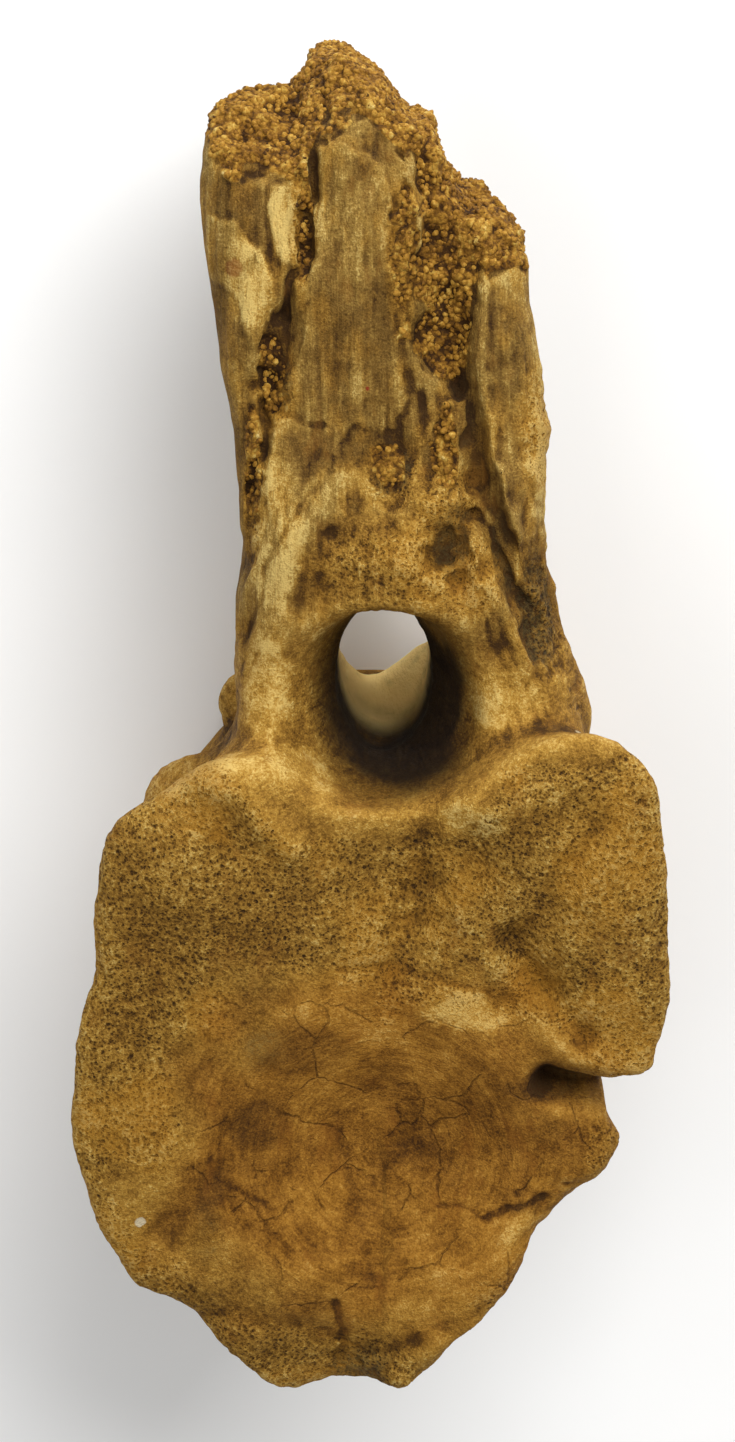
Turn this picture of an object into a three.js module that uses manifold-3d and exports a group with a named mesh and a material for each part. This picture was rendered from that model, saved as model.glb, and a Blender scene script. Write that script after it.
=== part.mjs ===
// Tail vertebra of a large dinosaur, a fossil with the tip of its spine broken off, at life size.
// It lies on the rear face of its body, as it would rest on a table: +Z is the front face's side,
// +Y runs up the neural spine and +X is to the right as the front face is looked at. Millimetres.
//
// The bone is one piece, so it is modelled whole as a field (negative inside) that joins its forms
// with soft fillets, is meshed once, and is then parted with thin cuts into the parts that have names.

import * as THREE from 'three';
import Module from 'manifold-3d';

const { clamp, lerp, radToDeg } = THREE.MathUtils;

// Driving sizes

const bodyLength = 82;               // centrum, rear rim to front rim
const meshCell = 3.75;               // size of a mesh cell
const partGap = 0.3;                 // width of the cuts between parts

// Centrum. Its outlines are radii round the middle of the face, by the angle from the right side.
const faceMiddle = { x: -2.5, y: 1.5 };
const frontRim = [
  [0, 51.5], [9, 52.8], [18, 55.7], [30, 59.5], [40, 66.3], [47, 73.6], [54, 75.5], [61, 70],
  [68, 60], [77, 52], [98, 51], [107, 58], [117, 62.5], [130, 62.5], [137, 63], [146, 58.2],
  [159, 52], [173, 52], [187, 54.7], [205, 57], [217, 60], [225, 67], [233, 62], [247, 64.3],
  [258, 74.8], [277, 64.4], [287, 54.5], [299, 50.3], [308, 45.6], [314, 43.5], [326, 45.6],
  [340, 48.2], [350, 49.7], [360, 51],
];
const rearRim = { halfWidth: 42, halfHeight: 50.5, squareTop: 2.1, squareBottom: 2.2, liftY: 2.5 };
const waist = { side: 0.2, below: 0.17, above: 0.03 };
const outlineTurn = 1.9;             // how late the outline turns from the rear rim's to the front's
const frontEdgeRound = 7;
const rearEdgeRound = 5;

// The hollow of each face, and what stands out of or sinks into the front face
const frontDish = { x: 0, y: -15, halfWidth: 37, halfHeight: 32, depth: 9 };
const rearDish = { x: -2.5, y: 2, halfWidth: 36, halfHeight: 40, depth: 8 };
const frontLumps = [
  { x: -33, y: 36, reach: 15, rise: 3.5 },     // left shoulder
  { x: 33, y: 38, reach: 16, rise: 4 },        // right shoulder
  { x: 41, y: 14, reach: 10, rise: 2.5 },      // right shoulder's lower end
  { x: -44, y: -12, reach: 13, rise: 1.5 },    // left margin
  { x: 3, y: 34, reach: 9, rise: -3.5 },       // valley under the canal
  { x: 22, y: 16, reach: 6, rise: -2.5 },      // groove inside the right shoulder
  { x: 41, y: -9, reach: 9, rise: -4 },        // block below the ledge, set back
  { x: 34, y: -26, reach: 8, rise: -3 },       // chipped lower right margin
  { x: -38, y: -50, reach: 11, rise: -5 },     // chipped lower left margin
  { x: -8, y: -60, reach: 15, rise: -8 },      // lower lip, sloping away
  { x: -39, y: 27, reach: 6, rise: -1.3 },     // worn hollows: outer side of the left shoulder
  { x: 14, y: 39, reach: 5, rise: -1.5 },      // between the valley and the right shoulder
  { x: -37, y: -27, reach: 5, rise: -1.1 },    // and low on the left margin
  { x: 40, y: 30, reach: 7, rise: 1 },         // right shoulder's outer swelling
  { x: 38, y: -14, reach: 5, rise: 1.6 },      // knob under the notch
];
// Ridges and grooves of the front face, along their points: the edges of the left and the right
// shoulder, the ledge over the side notch, the bed of the valley, the upper and the lower groove
// inside the right shoulder, and the crevice under the ledge
const frontLines = [
  { path: [[-29, 52.5], [-24, 50], [-20, 45], [-15.5, 41]], halfWidth: 3.2, rise: 1.6 },
  { path: [[10, 51], [17, 47], [24, 49.5], [31, 53]], halfWidth: 3, rise: 1.2 },
  { path: [[19, 20], [26, 12], [33, 4.5], [42, 1.5]], halfWidth: 3.2, rise: 1.8 },
  { path: [[7.5, 47], [6.3, 41.5], [6.8, 35], [5.5, 28], [1.5, 19.5]], halfWidth: 3.4, rise: -1.6 },
  { path: [[35, 45], [29, 35.5], [25, 29], [21.5, 24.5]], halfWidth: 3.4, rise: -1.2 },
  { path: [[21.5, 24.5], [25.5, 17.5], [29, 11.5], [33, 8]], halfWidth: 3, rise: -2 },
  { path: [[25, 0], [31, -1.8], [38, -3.5], [46, -4]], halfWidth: 2.6, rise: -9 },
];
const sideNotch = { x: 51, y: -5.5, halfX: 12.5, halfY: 5.7, round: 3.5, from: 50, fade: 5, edgeRound: 2 };

// What stands out of the sides and the back of the centrum, each a ball sunk into it
const bosses = [
  { x: -15, y: -43, z: 6, radius: 7, blend: 8 },      // facets for the chevron bone below
  { x: 10, y: -43, z: 6, radius: 7, blend: 8 },
  { x: -34.5, y: 39, z: 44, radius: 7, blend: 14 },   // worn roots of the side processes
  { x: 31, y: 42, z: 42, radius: 9, blend: 9 },
  { x: -23.5, y: 48.5, z: 10, radius: 7, blend: 4 },  // left rear root of the arch
];
const flankDent = { y: 4, z: 42, reachY: 17, reachZ: 15, depth: 3.5 };

// Canal for the spinal cord: half width, floor and roof at points along the bone
const canal = [
  { z: 0, half: 10, floor: 57.5, roof: 82 },
  { z: 14, half: 8.5, floor: 55.5, roof: 79 },
  { z: 30, half: 7.6, floor: 52, roof: 76 },
  { z: 54, half: 8, floor: 51, roof: 76.5 },
  { z: 66, half: 13, floor: 50.2, roof: 78.3 },
  { z: 74, half: 19, floor: 48.5, roof: 79.5 },
  { z: 90, half: 25, floor: 46, roof: 86 },
];
// Right rear root of the arch, a mound that rises into the canal's rear end
const canalSill = { x: 14, y: 47.5, z: 14, radius: 14.5, blend: 4 };

// Neural arch and spine: left and right edge, front and back at heights up the bone.
// It is a wide front plate of some thickness with a narrower keel behind it.
const arch = [
  { y: 44, left: -23, right: 30, front: 73, back: 20, plate: 53, keel: 22 },
  { y: 51, left: -24, right: 32, front: 73, back: 19, plate: 54, keel: 22 },
  { y: 59, left: -25, right: 33.2, front: 72.5, back: 19, plate: 52, keel: 22 },
  { y: 66, left: -25.4, right: 32, front: 71, back: 20, plate: 48, keel: 22 },
  { y: 73, left: -25.4, right: 28.2, front: 70.5, back: 21, plate: 42, keel: 19 },
  { y: 80, left: -25.2, right: 26.5, front: 70.5, back: 22, plate: 34, keel: 16 },
  { y: 87, left: -24.4, right: 25.2, front: 70.5, back: 23, plate: 27, keel: 14 },
  { y: 98, left: -25, right: 27.2, front: 68, back: 22, plate: 22, keel: 12 },
  { y: 108, left: -26.2, right: 27.4, front: 66, back: 21, plate: 19.5, keel: 10 },
  { y: 118, left: -28, right: 24.4, front: 64.5, back: 20, plate: 18.5, keel: 9.5 },
  { y: 129, left: -29.5, right: 21.8, front: 63, back: 19.5, plate: 18, keel: 9 },
  { y: 137, left: -30.4, right: 23.9, front: 62, back: 19, plate: 17.5, keel: 9 },
  { y: 146, left: -31.4, right: 22, front: 61, back: 18, plate: 17.5, keel: 9 },
  { y: 156, left: -31.6, right: 20, front: 60, back: 17, plate: 17.5, keel: 10 },
  { y: 176, left: -31, right: 16, front: 58.5, back: 15, plate: 17.5, keel: 11 },
];
const archFoot = 42;                 // where the arch ends inside the centrum
const archFillet = 9;                // fillet between arch and centrum
const canalEdgeRound = 2.5;
const archRound = 8;                 // radius of the plate's edges
const keelBlend = 11;                // fillet between plate and keel
const keelRound = 7;
const keelInset = 10;                // how far the keel's front end lies inside the plate
const keelShift = 0.4;               // how much of the plate's lean the keel follows

// Broken tip: for points from left to right, the height of its crest and of its front edge
const breakLine = [
  [-32.5, 150, 148], [-31, 154.5, 151], [-29.5, 160.5, 153.5], [-27.6, 162.7, 153.8],
  [-24.5, 165, 153.6], [-20.8, 167.6, 153.5], [-16, 170.5, 152.8], [-12.5, 170.6, 156],
  [-9.5, 170.7, 159.4], [-7.5, 170.8, 160.5], [-5, 169.5, 161.5], [-2.5, 167.5, 162],
  [0, 165, 160], [2.7, 161.8, 158], [4.5, 160.3, 157], [7, 160.2, 155.5], [8.7, 159.3, 154.5],
  [10, 154.5, 151], [13, 149.8, 143], [16.5, 149, 140], [19.7, 146.4, 139.5], [22.7, 142, 139],
  [24.2, 138.5, 136],
];
const breakFront = 60;               // level of the front edge
const breakRamp = 0.8;               // rise of the broken surface from its front edge to the crest
const breakRound = 3;

// Ridges and grooves on the front of the arch and spine: the left crack from the tip down to the
// arch in three lengths, the fracture in two, the left arm of the arch, and the canal's upper lip
const archLines = [
  { path: [[-12, 160], [-12.6, 147], [-14.5, 135], [-17, 127]], halfWidth: 2.4, rise: -2.2 },
  { path: [[-17, 127], [-19.5, 118.5], [-20.5, 113]], halfWidth: 3.2, rise: -2.6 },
  { path: [[-20, 112], [-21.6, 103], [-22.4, 94], [-23.5, 84]], halfWidth: 2.4, rise: -1.6 },
  { path: [[9, 162], [10.6, 146], [10.2, 130], [12, 117]], halfWidth: 5, rise: -5 },
  { path: [[12.5, 115], [15.5, 102], [18, 94], [22, 83], [30, 70]], halfWidth: 2.8, rise: -3.4 },
  { path: [[-8, 102], [-12.5, 95], [-16.2, 89], [-17.5, 82], [-19, 74]], halfWidth: 3.4, rise: 1.6 },
  { path: [[-15, 77], [-8, 79.5], [0, 80], [8, 79], [14, 76]], halfWidth: 2.8, rise: 1 },
];

// Swells and hollows of its front and back
const frontSwells = [
  { x: 4, y: 88, reach: 14, rise: 3.2 },       // worn roots of the joint processes
  { x: 10.6, y: 90, reach: 3.2, rise: -6 },    // dark pit in them
  { x: 2, y: 106, reach: 6, rise: -2.4 },      // upper hollow
  { x: -4, y: 135, reach: 16, rise: 1.8 },     // front lamina
];
const rearSwells = [
  { x: -10, y: 92, reach: 8, rise: 6 },        // left rear joint process, worn to a stump
  { x: 10, y: 92, reach: 8, rise: 6 },         // right one
];
// Lamina down the right flank, from the spine to the root of the side process
const flankRidge = {
  path: [[17, 140, 56], [20.5, 118, 57], [21.5, 98, 58], [21.3, 85, 58], [27.3, 67, 57], [30, 58, 56]],
  radius: 5.5,
  blend: 5,
};

// Slow waves over the whole surface: height, wave length and start on each axis
const waves = [
  { height: 0.55, lengths: [6.1, 7.3, 6.7], starts: [1.3, 0.4, 2.1] },
  { height: 0.35, lengths: [3.4, 3.9, 3.6], starts: [2.2, 1.7, 0.6] },
];

// Where the thin cuts go
const cuts = { sutureY: 60.5, roofY: 72.5, spineY: 104 };
const tipCut = { y: 160.5, z: 28, fall: 0.3 };       // through this line, falling to the front
const leftCrack = [[-14, 158], [-23, 100]];
const fractureLeft = [[9.5, 158], [14, 104]];
const fractureRight = [[15, 158], [19, 104]];

// Joining and shaping functions

const softMin = (a, b, k) => Math.min(a, b) - Math.max(k - Math.abs(a - b), 0) ** 2 / (4 * k);
const softMax = (a, b, k) => -softMin(-a, -b, k);
const bell = (distance, reach) => Math.exp(-((distance / reach) ** 2));

// Straight-line reading of a list of rows, each an array or an object, by its column key
function readAlong(rows, key, column, at) {
  let i = 1;
  while (i < rows.length - 1 && rows[i][key] < at) i++;
  const low = rows[i - 1];
  const high = rows[i];
  const share = clamp((at - low[key]) / (high[key] - low[key]), 0, 1);
  return lerp(low[column], high[column], share);
}

// Distance from a point to the stretch from a to b, on the flat or in space
function segmentDistance(point, a, b) {
  const run = b.map((value, n) => value - a[n]);
  const dot = run.reduce((sum, value, n) => sum + value * (point[n] - a[n]), 0);
  const share = clamp(dot / run.reduce((sum, value) => sum + value * value, 0), 0, 1);
  return Math.hypot(...run.map((value, n) => point[n] - a[n] - share * value));
}

const pathDistance = (point, path) =>
  Math.min(...path.slice(1).map((end, n) => segmentDistance(point, path[n], end)));

const lumpSum = (x, y, lumps) =>
  lumps.reduce((sum, l) => sum + l.rise * bell(Math.hypot(x - l.x, y - l.y), l.reach), 0);

const lineSum = (x, y, lines) =>
  lines.reduce((sum, l) => sum + l.rise * bell(pathDistance([x, y], l.path), l.halfWidth), 0);

const ball = (x, y, z, at) => Math.hypot(x - at.x, y - at.y, z - at.z) - at.radius;

function roundedBox(u, v, halfU, halfV, radius) {
  const qu = Math.abs(u) - halfU + radius;
  const qv = Math.abs(v) - halfV + radius;
  return Math.hypot(Math.max(qu, 0), Math.max(qv, 0)) + Math.min(Math.max(qu, qv), 0) - radius;
}

// Slow waviness that keeps any face from being true
const waviness = (point) => waves.reduce((sum, { height, lengths, starts }) => {
  const product = (share, value, n) => share * Math.sin(value / lengths[n] + starts[n]);
  return sum + point.reduce(product, height);
}, 0);

// Centrum

function rearRadius(angle) {
  const c = Math.cos(angle);
  const s = Math.sin(angle);
  const power = s > 0 ? rearRim.squareTop : rearRim.squareBottom;
  const blunt = Math.abs(c / rearRim.halfWidth) ** power + Math.abs(s / rearRim.halfHeight) ** power;
  return blunt ** (-1 / power) + rearRim.liftY * s;
}

function dishDepth(x, y, dish) {
  const share = Math.min(Math.hypot((x - dish.x) / dish.halfWidth, (y - dish.y) / dish.halfHeight), 1);
  return dish.depth * (0.5 + 0.5 * Math.cos(Math.PI * share));
}

function frontHeight(x, y) {
  return bodyLength - dishDepth(x, y, frontDish) + lumpSum(x, y, frontLumps) + lineSum(x, y, frontLines);
}

function centrum(x, y, z) {
  const dx = x - faceMiddle.x;
  const dy = y - faceMiddle.y;
  const angle = Math.atan2(dy, dx);
  const degrees = (radToDeg(angle) + 360) % 360;
  const along = clamp(z / bodyLength, 0, 1);
  const narrowing = lerp(waist.side, dy > 0 ? waist.above : waist.below, Math.abs(Math.sin(angle)));
  const rim = lerp(rearRadius(angle), readAlong(frontRim, 0, 1, degrees), along ** outlineTurn);
  const radius = rim * (1 - narrowing * Math.sin(Math.PI * along));
  const dent = bell(y - flankDent.y, flankDent.reachY) * bell(z - flankDent.z, flankDent.reachZ);
  const side = Math.hypot(dx, dy) - radius + flankDent.depth * dent * Math.abs(Math.cos(angle));
  const frontFace = z - frontHeight(x, y);
  const rearFace = dishDepth(x, y, rearDish) - z;
  let body = softMax(softMax(side, frontFace, frontEdgeRound), rearFace, rearEdgeRound);
  for (const boss of bosses) body = softMin(body, ball(x, y, z, boss), boss.blend);
  const { halfX, halfY, round, from, fade, edgeRound } = sideNotch;
  const notch = roundedBox(x - sideNotch.x, y - sideNotch.y, halfX, halfY, round);
  return softMax(body, -softMax(notch, from - z, fade), edgeRound);
}

// Neural arch and spine

function archAndSpine(x, y, z) {
  const at = (column) => readAlong(arch, 'y', column, y);
  const left = at('left');
  const right = at('right');
  const plate = at('plate');
  const back = at('back');
  const keel = at('keel');
  const front = at('front') + lumpSum(x, y, frontSwells) + lineSum(x, y, archLines);
  const rear = back - lumpSum(x, y, rearSwells);
  const middle = (left + right) / 2;
  const plateMiddle = front - plate / 2;
  const sheet = roundedBox(x - middle, z - plateMiddle, (right - left) / 2, plate / 2, archRound);
  const stemLength = front - keelInset - rear;
  const stem = roundedBox(x - middle * keelShift, z - rear - stemLength / 2, keel, stemLength / 2, keelRound);
  const body = softMin(sheet, stem, keelBlend);
  const ramp = readAlong(breakLine, 0, 2, x) + breakRamp * (breakFront - z);
  const top = y - softMin(readAlong(breakLine, 0, 1, x), ramp, breakRound);
  return softMax(softMax(body, top, breakRound), archFoot - y, breakRound);
}

const ridge = (x, y, z) => pathDistance([x, y, z], flankRidge.path) - flankRidge.radius;

function canalHollow(x, y, z) {
  const at = (column) => readAlong(canal, 'z', column, z);
  const half = at('half');
  const floor = at('floor');
  const roof = at('roof');
  const tall = (roof - floor) / 2;
  const share = Math.hypot(x / half, (y - floor - tall) / tall);
  return (share - 1) * Math.min(half, tall);
}

function bone(x, y, z) {
  const upper = softMin(archAndSpine(x, y, z), ridge(x, y, z), flankRidge.blend);
  const joined = softMin(centrum(x, y, z), upper, archFillet);
  const pierced = softMax(joined, -canalHollow(x, y, z), canalEdgeRound);
  return softMin(pierced, ball(x, y, z, canalSill), canalSill.blend) + waviness([x, y, z]);
}

// Meshing the field

const fieldBox = new THREE.Box3(new THREE.Vector3(-66, -68, -12), new THREE.Vector3(62, 182, 98));
const slopeStep = 0.05;              // how far apart the field is read for its slope
const leastSlope = 0.3;              // keeps a vertex from leaping where the field is flat

// One vertex for each cell that the surface passes through, joined over each crossed edge
function meshField(field, box, cell) {
  const size = box.getSize(new THREE.Vector3());
  const count = [size.x, size.y, size.z].map((s) => Math.ceil(s / cell) + 1);
  const [nx, ny, nz] = count;
  const stride = [1, nx, nx * ny];
  const values = new Float32Array(nx * ny * nz);
  const place = (i, j, k) => [box.min.x + i * cell, box.min.y + j * cell, box.min.z + k * cell];
  for (let k = 0; k < nz; k++) {
    for (let j = 0; j < ny; j++) {
      for (let i = 0; i < nx; i++) values[i + j * nx + k * nx * ny] = field(...place(i, j, k));
    }
  }

  const corners = [0, 1, 2, 3, 4, 5, 6, 7].map((c) => [c & 1, (c >> 1) & 1, (c >> 2) & 1]);
  const cellVertex = new Map();
  const points = [];
  for (let k = 0; k < nz - 1; k++) {
    for (let j = 0; j < ny - 1; j++) {
      for (let i = 0; i < nx - 1; i++) {
        const at = i + j * nx + k * nx * ny;
        const crossings = [];
        for (const a of corners) {
          for (let axis = 0; axis < 3; axis++) {
            if (a[axis]) continue;
            const from = values[at + a[0] + a[1] * stride[1] + a[2] * stride[2]];
            const to = values[at + a[0] + a[1] * stride[1] + a[2] * stride[2] + stride[axis]];
            if (from < 0 === to < 0) continue;
            const crossing = [...a];
            crossing[axis] += from / (from - to);
            crossings.push(crossing);
          }
        }
        if (!crossings.length) continue;
        const mean = [0, 1, 2].map((n) => crossings.reduce((s, c) => s + c[n], 0) / crossings.length);
        cellVertex.set(at, points.length / 3);
        points.push(...place(i + mean[0], j + mean[1], k + mean[2]));
      }
    }
  }

  const faces = [];
  const addQuad = (q, turned) => {
    const [a, b, c, d] = turned ? [...q].reverse() : q;
    const gap = (m, n) => Math.hypot(...[0, 1, 2].map((s) => points[3 * m + s] - points[3 * n + s]));
    faces.push(...(gap(a, c) < gap(b, d) ? [a, b, c, a, c, d] : [a, b, d, b, c, d]));
  };
  for (const at of cellVertex.keys()) {
    for (let axis = 0; axis < 3; axis++) {
      const u = stride[(axis + 1) % 3];
      const v = stride[(axis + 2) % 3];
      const from = values[at];
      const to = values[at + stride[axis]];
      if (from < 0 === to < 0) continue;
      addQuad([at, at - u, at - u - v, at - v].map((n) => cellVertex.get(n)), from >= 0);
    }
  }
  return { points, faces };
}

// Moves each vertex along the field's slope onto the surface, by no more than a third of a cell
function settleOnSurface(points, field, cell) {
  for (let n = 0; n < points.length; n += 3) {
    for (let round = 0; round < 2; round++) {
      const [x, y, z] = points.slice(n, n + 3);
      const here = field(x, y, z);
      const slope = new THREE.Vector3(
        field(x + slopeStep, y, z) - here,
        field(x, y + slopeStep, z) - here,
        field(x, y, z + slopeStep) - here,
      ).divideScalar(slopeStep);
      const move = clamp(-here / Math.max(slope.length(), leastSlope), -cell / 3, cell / 3);
      slope.normalize().multiplyScalar(move);
      points[n] += slope.x;
      points[n + 1] += slope.y;
      points[n + 2] += slope.z;
    }
  }
}

// Solids for cutting and joining

const wasm = await Module();
wasm.setup();

const solidFrom = (points, faces) => new wasm.Manifold(new wasm.Mesh({
  numProp: 3,
  vertProperties: new Float32Array(points),
  triVerts: new Uint32Array(faces),
}));

const largest = (solid) =>
  solid.decompose().reduce((best, next) => (next.volume() > best.volume() ? next : best));

// What lies past a plane, and what lies before it, with half the gap taken from each
function partAlong(solid, normal, offset) {
  const past = solid.trimByPlane(normal, offset + partGap / 2);
  const before = solid.trimByPlane(normal.map((n) => -n), -offset + partGap / 2);
  return [past, before];
}

// The same along a line drawn on the front, cut straight through from front to back
function partAlongLine(solid, [from, to]) {
  const run = Math.hypot(to[0] - from[0], to[1] - from[1]);
  const normal = [-(to[1] - from[1]) / run, (to[0] - from[0]) / run, 0];
  return partAlong(solid, normal, normal[0] * from[0] + normal[1] * from[1]);
}

// The two pedicles, from left to right
function pairFrom(solid) {
  const bySize = solid.decompose().sort((a, b) => b.volume() - a.volume());
  return bySize.slice(0, 2).sort((a, b) => a.boundingBox().min[0] - b.boundingBox().min[0]);
}

function geometryOf(solid) {
  const mesh = solid.getMesh();
  const geometry = new THREE.BufferGeometry();
  geometry.setAttribute('position', new THREE.BufferAttribute(mesh.vertProperties, 3));
  geometry.setIndex(new THREE.BufferAttribute(mesh.triVerts, 1));
  geometry.computeVertexNormals();
  return geometry;
}

// Building the parts

const { points, faces } = meshField(bone, fieldBox, meshCell);
settleOnSurface(points, bone, meshCell);
const whole = largest(solidFrom(points, faces).trimByPlane([0, 0, 1], 0));

const [aboveSuture, body] = partAlong(whole, [0, 1, 0], cuts.sutureY);
const [aboveRoof, pedicles] = partAlong(aboveSuture, [0, 1, 0], cuts.roofY);
const [spineAndTip, roof] = partAlong(aboveRoof, [0, 1, 0], cuts.spineY);
const tipSlant = Math.hypot(1, tipCut.fall);
const [tip, spine] = partAlong(
  spineAndTip,
  [0, 1 / tipSlant, tipCut.fall / tipSlant],
  (tipCut.y + tipCut.fall * tipCut.z) / tipSlant,
);
const [rightOfCrack, leftLamina] = partAlongLine(spine, leftCrack);
const [rightOfFracture, spineMiddle] = partAlongLine(rightOfCrack, fractureLeft);
const [rightLamina, fractureFill] = partAlongLine(rightOfFracture, fractureRight);
const [pedicleLeft, pedicleRight] = pairFrom(pedicles);

const boneColour = new THREE.Color(0.56, 0.41, 0.22);
const laminaColour = new THREE.Color(0.6, 0.48, 0.29);
const matrixColour = new THREE.Color(0.6, 0.39, 0.13);

const parts = {
  centrum: [largest(body), boneColour, 0.85],
  pedicle_left: [pedicleLeft, boneColour, 0.8],
  pedicle_right: [pedicleRight, boneColour, 0.8],
  neural_arch_roof: [largest(roof), boneColour, 0.8],
  neural_spine: [largest(spineMiddle), laminaColour, 0.7],
  spine_lamina_left: [largest(leftLamina), laminaColour, 0.7],
  spine_lamina_right: [largest(rightLamina), laminaColour, 0.7],
  matrix_fracture: [largest(fractureFill), matrixColour, 0.95],
  matrix_tip: [largest(tip), matrixColour, 0.95],
};

const vertebra = new THREE.Group();
const extent = new THREE.Box3();
for (const [name, [solid, colour, roughness]] of Object.entries(parts)) {
  const material = new THREE.MeshStandardMaterial({ color: colour, roughness, metalness: 0 });
  const mesh = new THREE.Mesh(geometryOf(solid), material);
  mesh.name = name;
  vertebra.add(mesh);
  extent.expandByObject(mesh);
}

// The origin is on the floor under the middle of the bone
vertebra.position.set(-(extent.min.x + extent.max.x) / 2, -(extent.min.y + extent.max.y) / 2, 0);

export default vertebra;
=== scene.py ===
"""A fossil tail vertebra of a large dinosaur, lying on the rear face of its body.

The bone is one field of millimetres, negative inside. It has the forms of the solids, from the same named
sizes, and the cracks, flakes and worn edges besides. It is meshed once, gets its fine relief, and is cut
into the parts that anatomy names. In the bone's own frame the canal runs along z at x = 0, y goes up the
neural spine, and z = 0 is the level that the bone lies on.
"""

import math

import bmesh
import bpy
import numpy as np
import openvdb
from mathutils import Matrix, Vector


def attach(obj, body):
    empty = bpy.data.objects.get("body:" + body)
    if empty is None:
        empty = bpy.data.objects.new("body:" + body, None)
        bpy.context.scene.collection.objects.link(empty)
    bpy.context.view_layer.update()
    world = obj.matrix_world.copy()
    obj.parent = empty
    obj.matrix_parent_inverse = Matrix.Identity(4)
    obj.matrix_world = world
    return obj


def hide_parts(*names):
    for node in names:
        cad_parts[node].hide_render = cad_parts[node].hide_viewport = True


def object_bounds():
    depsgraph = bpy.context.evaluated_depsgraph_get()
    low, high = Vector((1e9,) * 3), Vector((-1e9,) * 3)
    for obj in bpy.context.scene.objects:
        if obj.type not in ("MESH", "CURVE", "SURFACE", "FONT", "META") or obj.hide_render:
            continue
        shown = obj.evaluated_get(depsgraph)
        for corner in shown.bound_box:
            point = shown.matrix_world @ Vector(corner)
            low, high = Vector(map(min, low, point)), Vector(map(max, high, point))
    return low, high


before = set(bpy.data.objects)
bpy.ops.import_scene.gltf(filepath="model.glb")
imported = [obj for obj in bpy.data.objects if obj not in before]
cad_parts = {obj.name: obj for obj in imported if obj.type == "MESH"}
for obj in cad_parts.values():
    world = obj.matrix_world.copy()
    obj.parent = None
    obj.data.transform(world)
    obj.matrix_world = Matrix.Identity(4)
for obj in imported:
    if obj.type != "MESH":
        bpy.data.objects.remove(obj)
cad_low, cad_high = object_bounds()

MM = 0.001
BONE_ORIGIN = np.array([-2.6131, 55.2696, 0])  # point of the bone's frame that is at the part's origin
GRID_CELL = 0.5                                # mm
KEPT_SHARE = 0.34                              # triangles kept when flat places are thinned


# Sizes of the solids

BODY_LENGTH = 82
FACE_X, FACE_Y = -2.5, 1.5
FRONT_RIM = np.array([                         # angle, radius
    (0, 51.5), (9, 52.8), (18, 55.7), (30, 59.5), (40, 66.3), (47, 73.6), (54, 75.5), (61, 70),
    (68, 60), (77, 52), (98, 51), (107, 58), (117, 62.5), (130, 62.5), (137, 63), (146, 58.2),
    (159, 52), (173, 52), (187, 54.7), (205, 57), (217, 58.4), (225, 62.6), (233, 60.6), (247, 64.3),
    (258, 74.8), (277, 64.4), (287, 54.5), (299, 50.3), (308, 45.6), (314, 43.5), (326, 45.6), (340, 48.2),
    (350, 49.7), (360, 51),
])
RIM_BLUR = [(-0.05, 0.25), (0, 0.5), (0.05, 0.25)]  # turn and share, which round the rim's corners
REAR_HALF_WIDTH, REAR_HALF_HEIGHT, REAR_LIFT = 42, 50.5, 2.5
REAR_SQUARE_TOP, REAR_SQUARE_BOTTOM = 2.1, 2.2
WAIST_SIDE, WAIST_BELOW, WAIST_ABOVE = 0.2, 0.17, 0.03
OUTLINE_TURN = 1.9
FRONT_EDGE_ROUND, REAR_EDGE_ROUND = 7, 5

FRONT_DISH = (0, -15, 37, 32, 9)               # x, y, half width, half height, depth
REAR_DISH = (-2.5, 2, 36, 40, 8)
FRONT_LUMPS = [                                # x, y, reach, rise
    (-33, 36, 15, 3.5),                        # left shoulder
    (33, 38, 16, 4),                           # right shoulder
    (41, 14, 10, 2.5),                         # right shoulder's lower end
    (-44, -12, 13, 1.5),                       # left margin
    (3, 34, 9, -3.5),                          # valley under the canal
    (22, 16, 6, -2.5),                         # groove inside the right shoulder
    (41, -9, 9, -4),                           # block below the ledge, set back
    (34, -26, 8, -3),                          # chipped lower right margin
    (-38, -50, 11, -5),                        # chipped lower left margin
    (-8, -60, 15, -8),                         # lower lip, sloping away
    (-39, 27, 6, -1.3),                        # worn hollows: outer side of the left shoulder
    (14, 39, 5, -1.5),                         # between the valley and the right shoulder
    (-37, -27, 5, -1.1),                       # and low on the left margin
    (40, 30, 7, 1),                            # right shoulder's outer swelling
    (38, -14, 5, 1.6),                         # knob under the notch
]
FRONT_LINES = [                                # points, half width, rise
    ([(-29, 52.5), (-24, 50), (-20, 45), (-15.5, 41)], 3.2, 1.6),               # left shoulder's edge
    ([(10, 51), (17, 47), (24, 49.5), (31, 53)], 3.0, 1.2),                     # right shoulder's edge
    ([(19, 20), (26, 12), (33, 4.5), (42, 1.5)], 3.2, 1.8),                     # ledge over the notch
    ([(7.5, 47), (6.3, 41.5), (6.8, 35), (5.5, 28), (1.5, 19.5)], 3.4, -1.6),   # bed of the valley
    ([(35, 45), (29, 35.5), (25, 29), (21.5, 24.5)], 3.4, -1.2),                # inside the right shoulder
    ([(21.5, 24.5), (25.5, 17.5), (29, 11.5), (33, 8)], 3.0, -2.0),
    ([(28, -1), (31, -1.8), (38, -3.5), (46, -4)], 2.4, -9.0),                  # crevice under the ledge
]
NOTCH_X, NOTCH_Y, NOTCH_HALF_X, NOTCH_HALF_Y, NOTCH_ROUND = 51, -5.5, 12.5, 5.7, 3.5
NOTCH_FROM, NOTCH_FADE, NOTCH_EDGE_ROUND = 50, 5, 2
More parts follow.
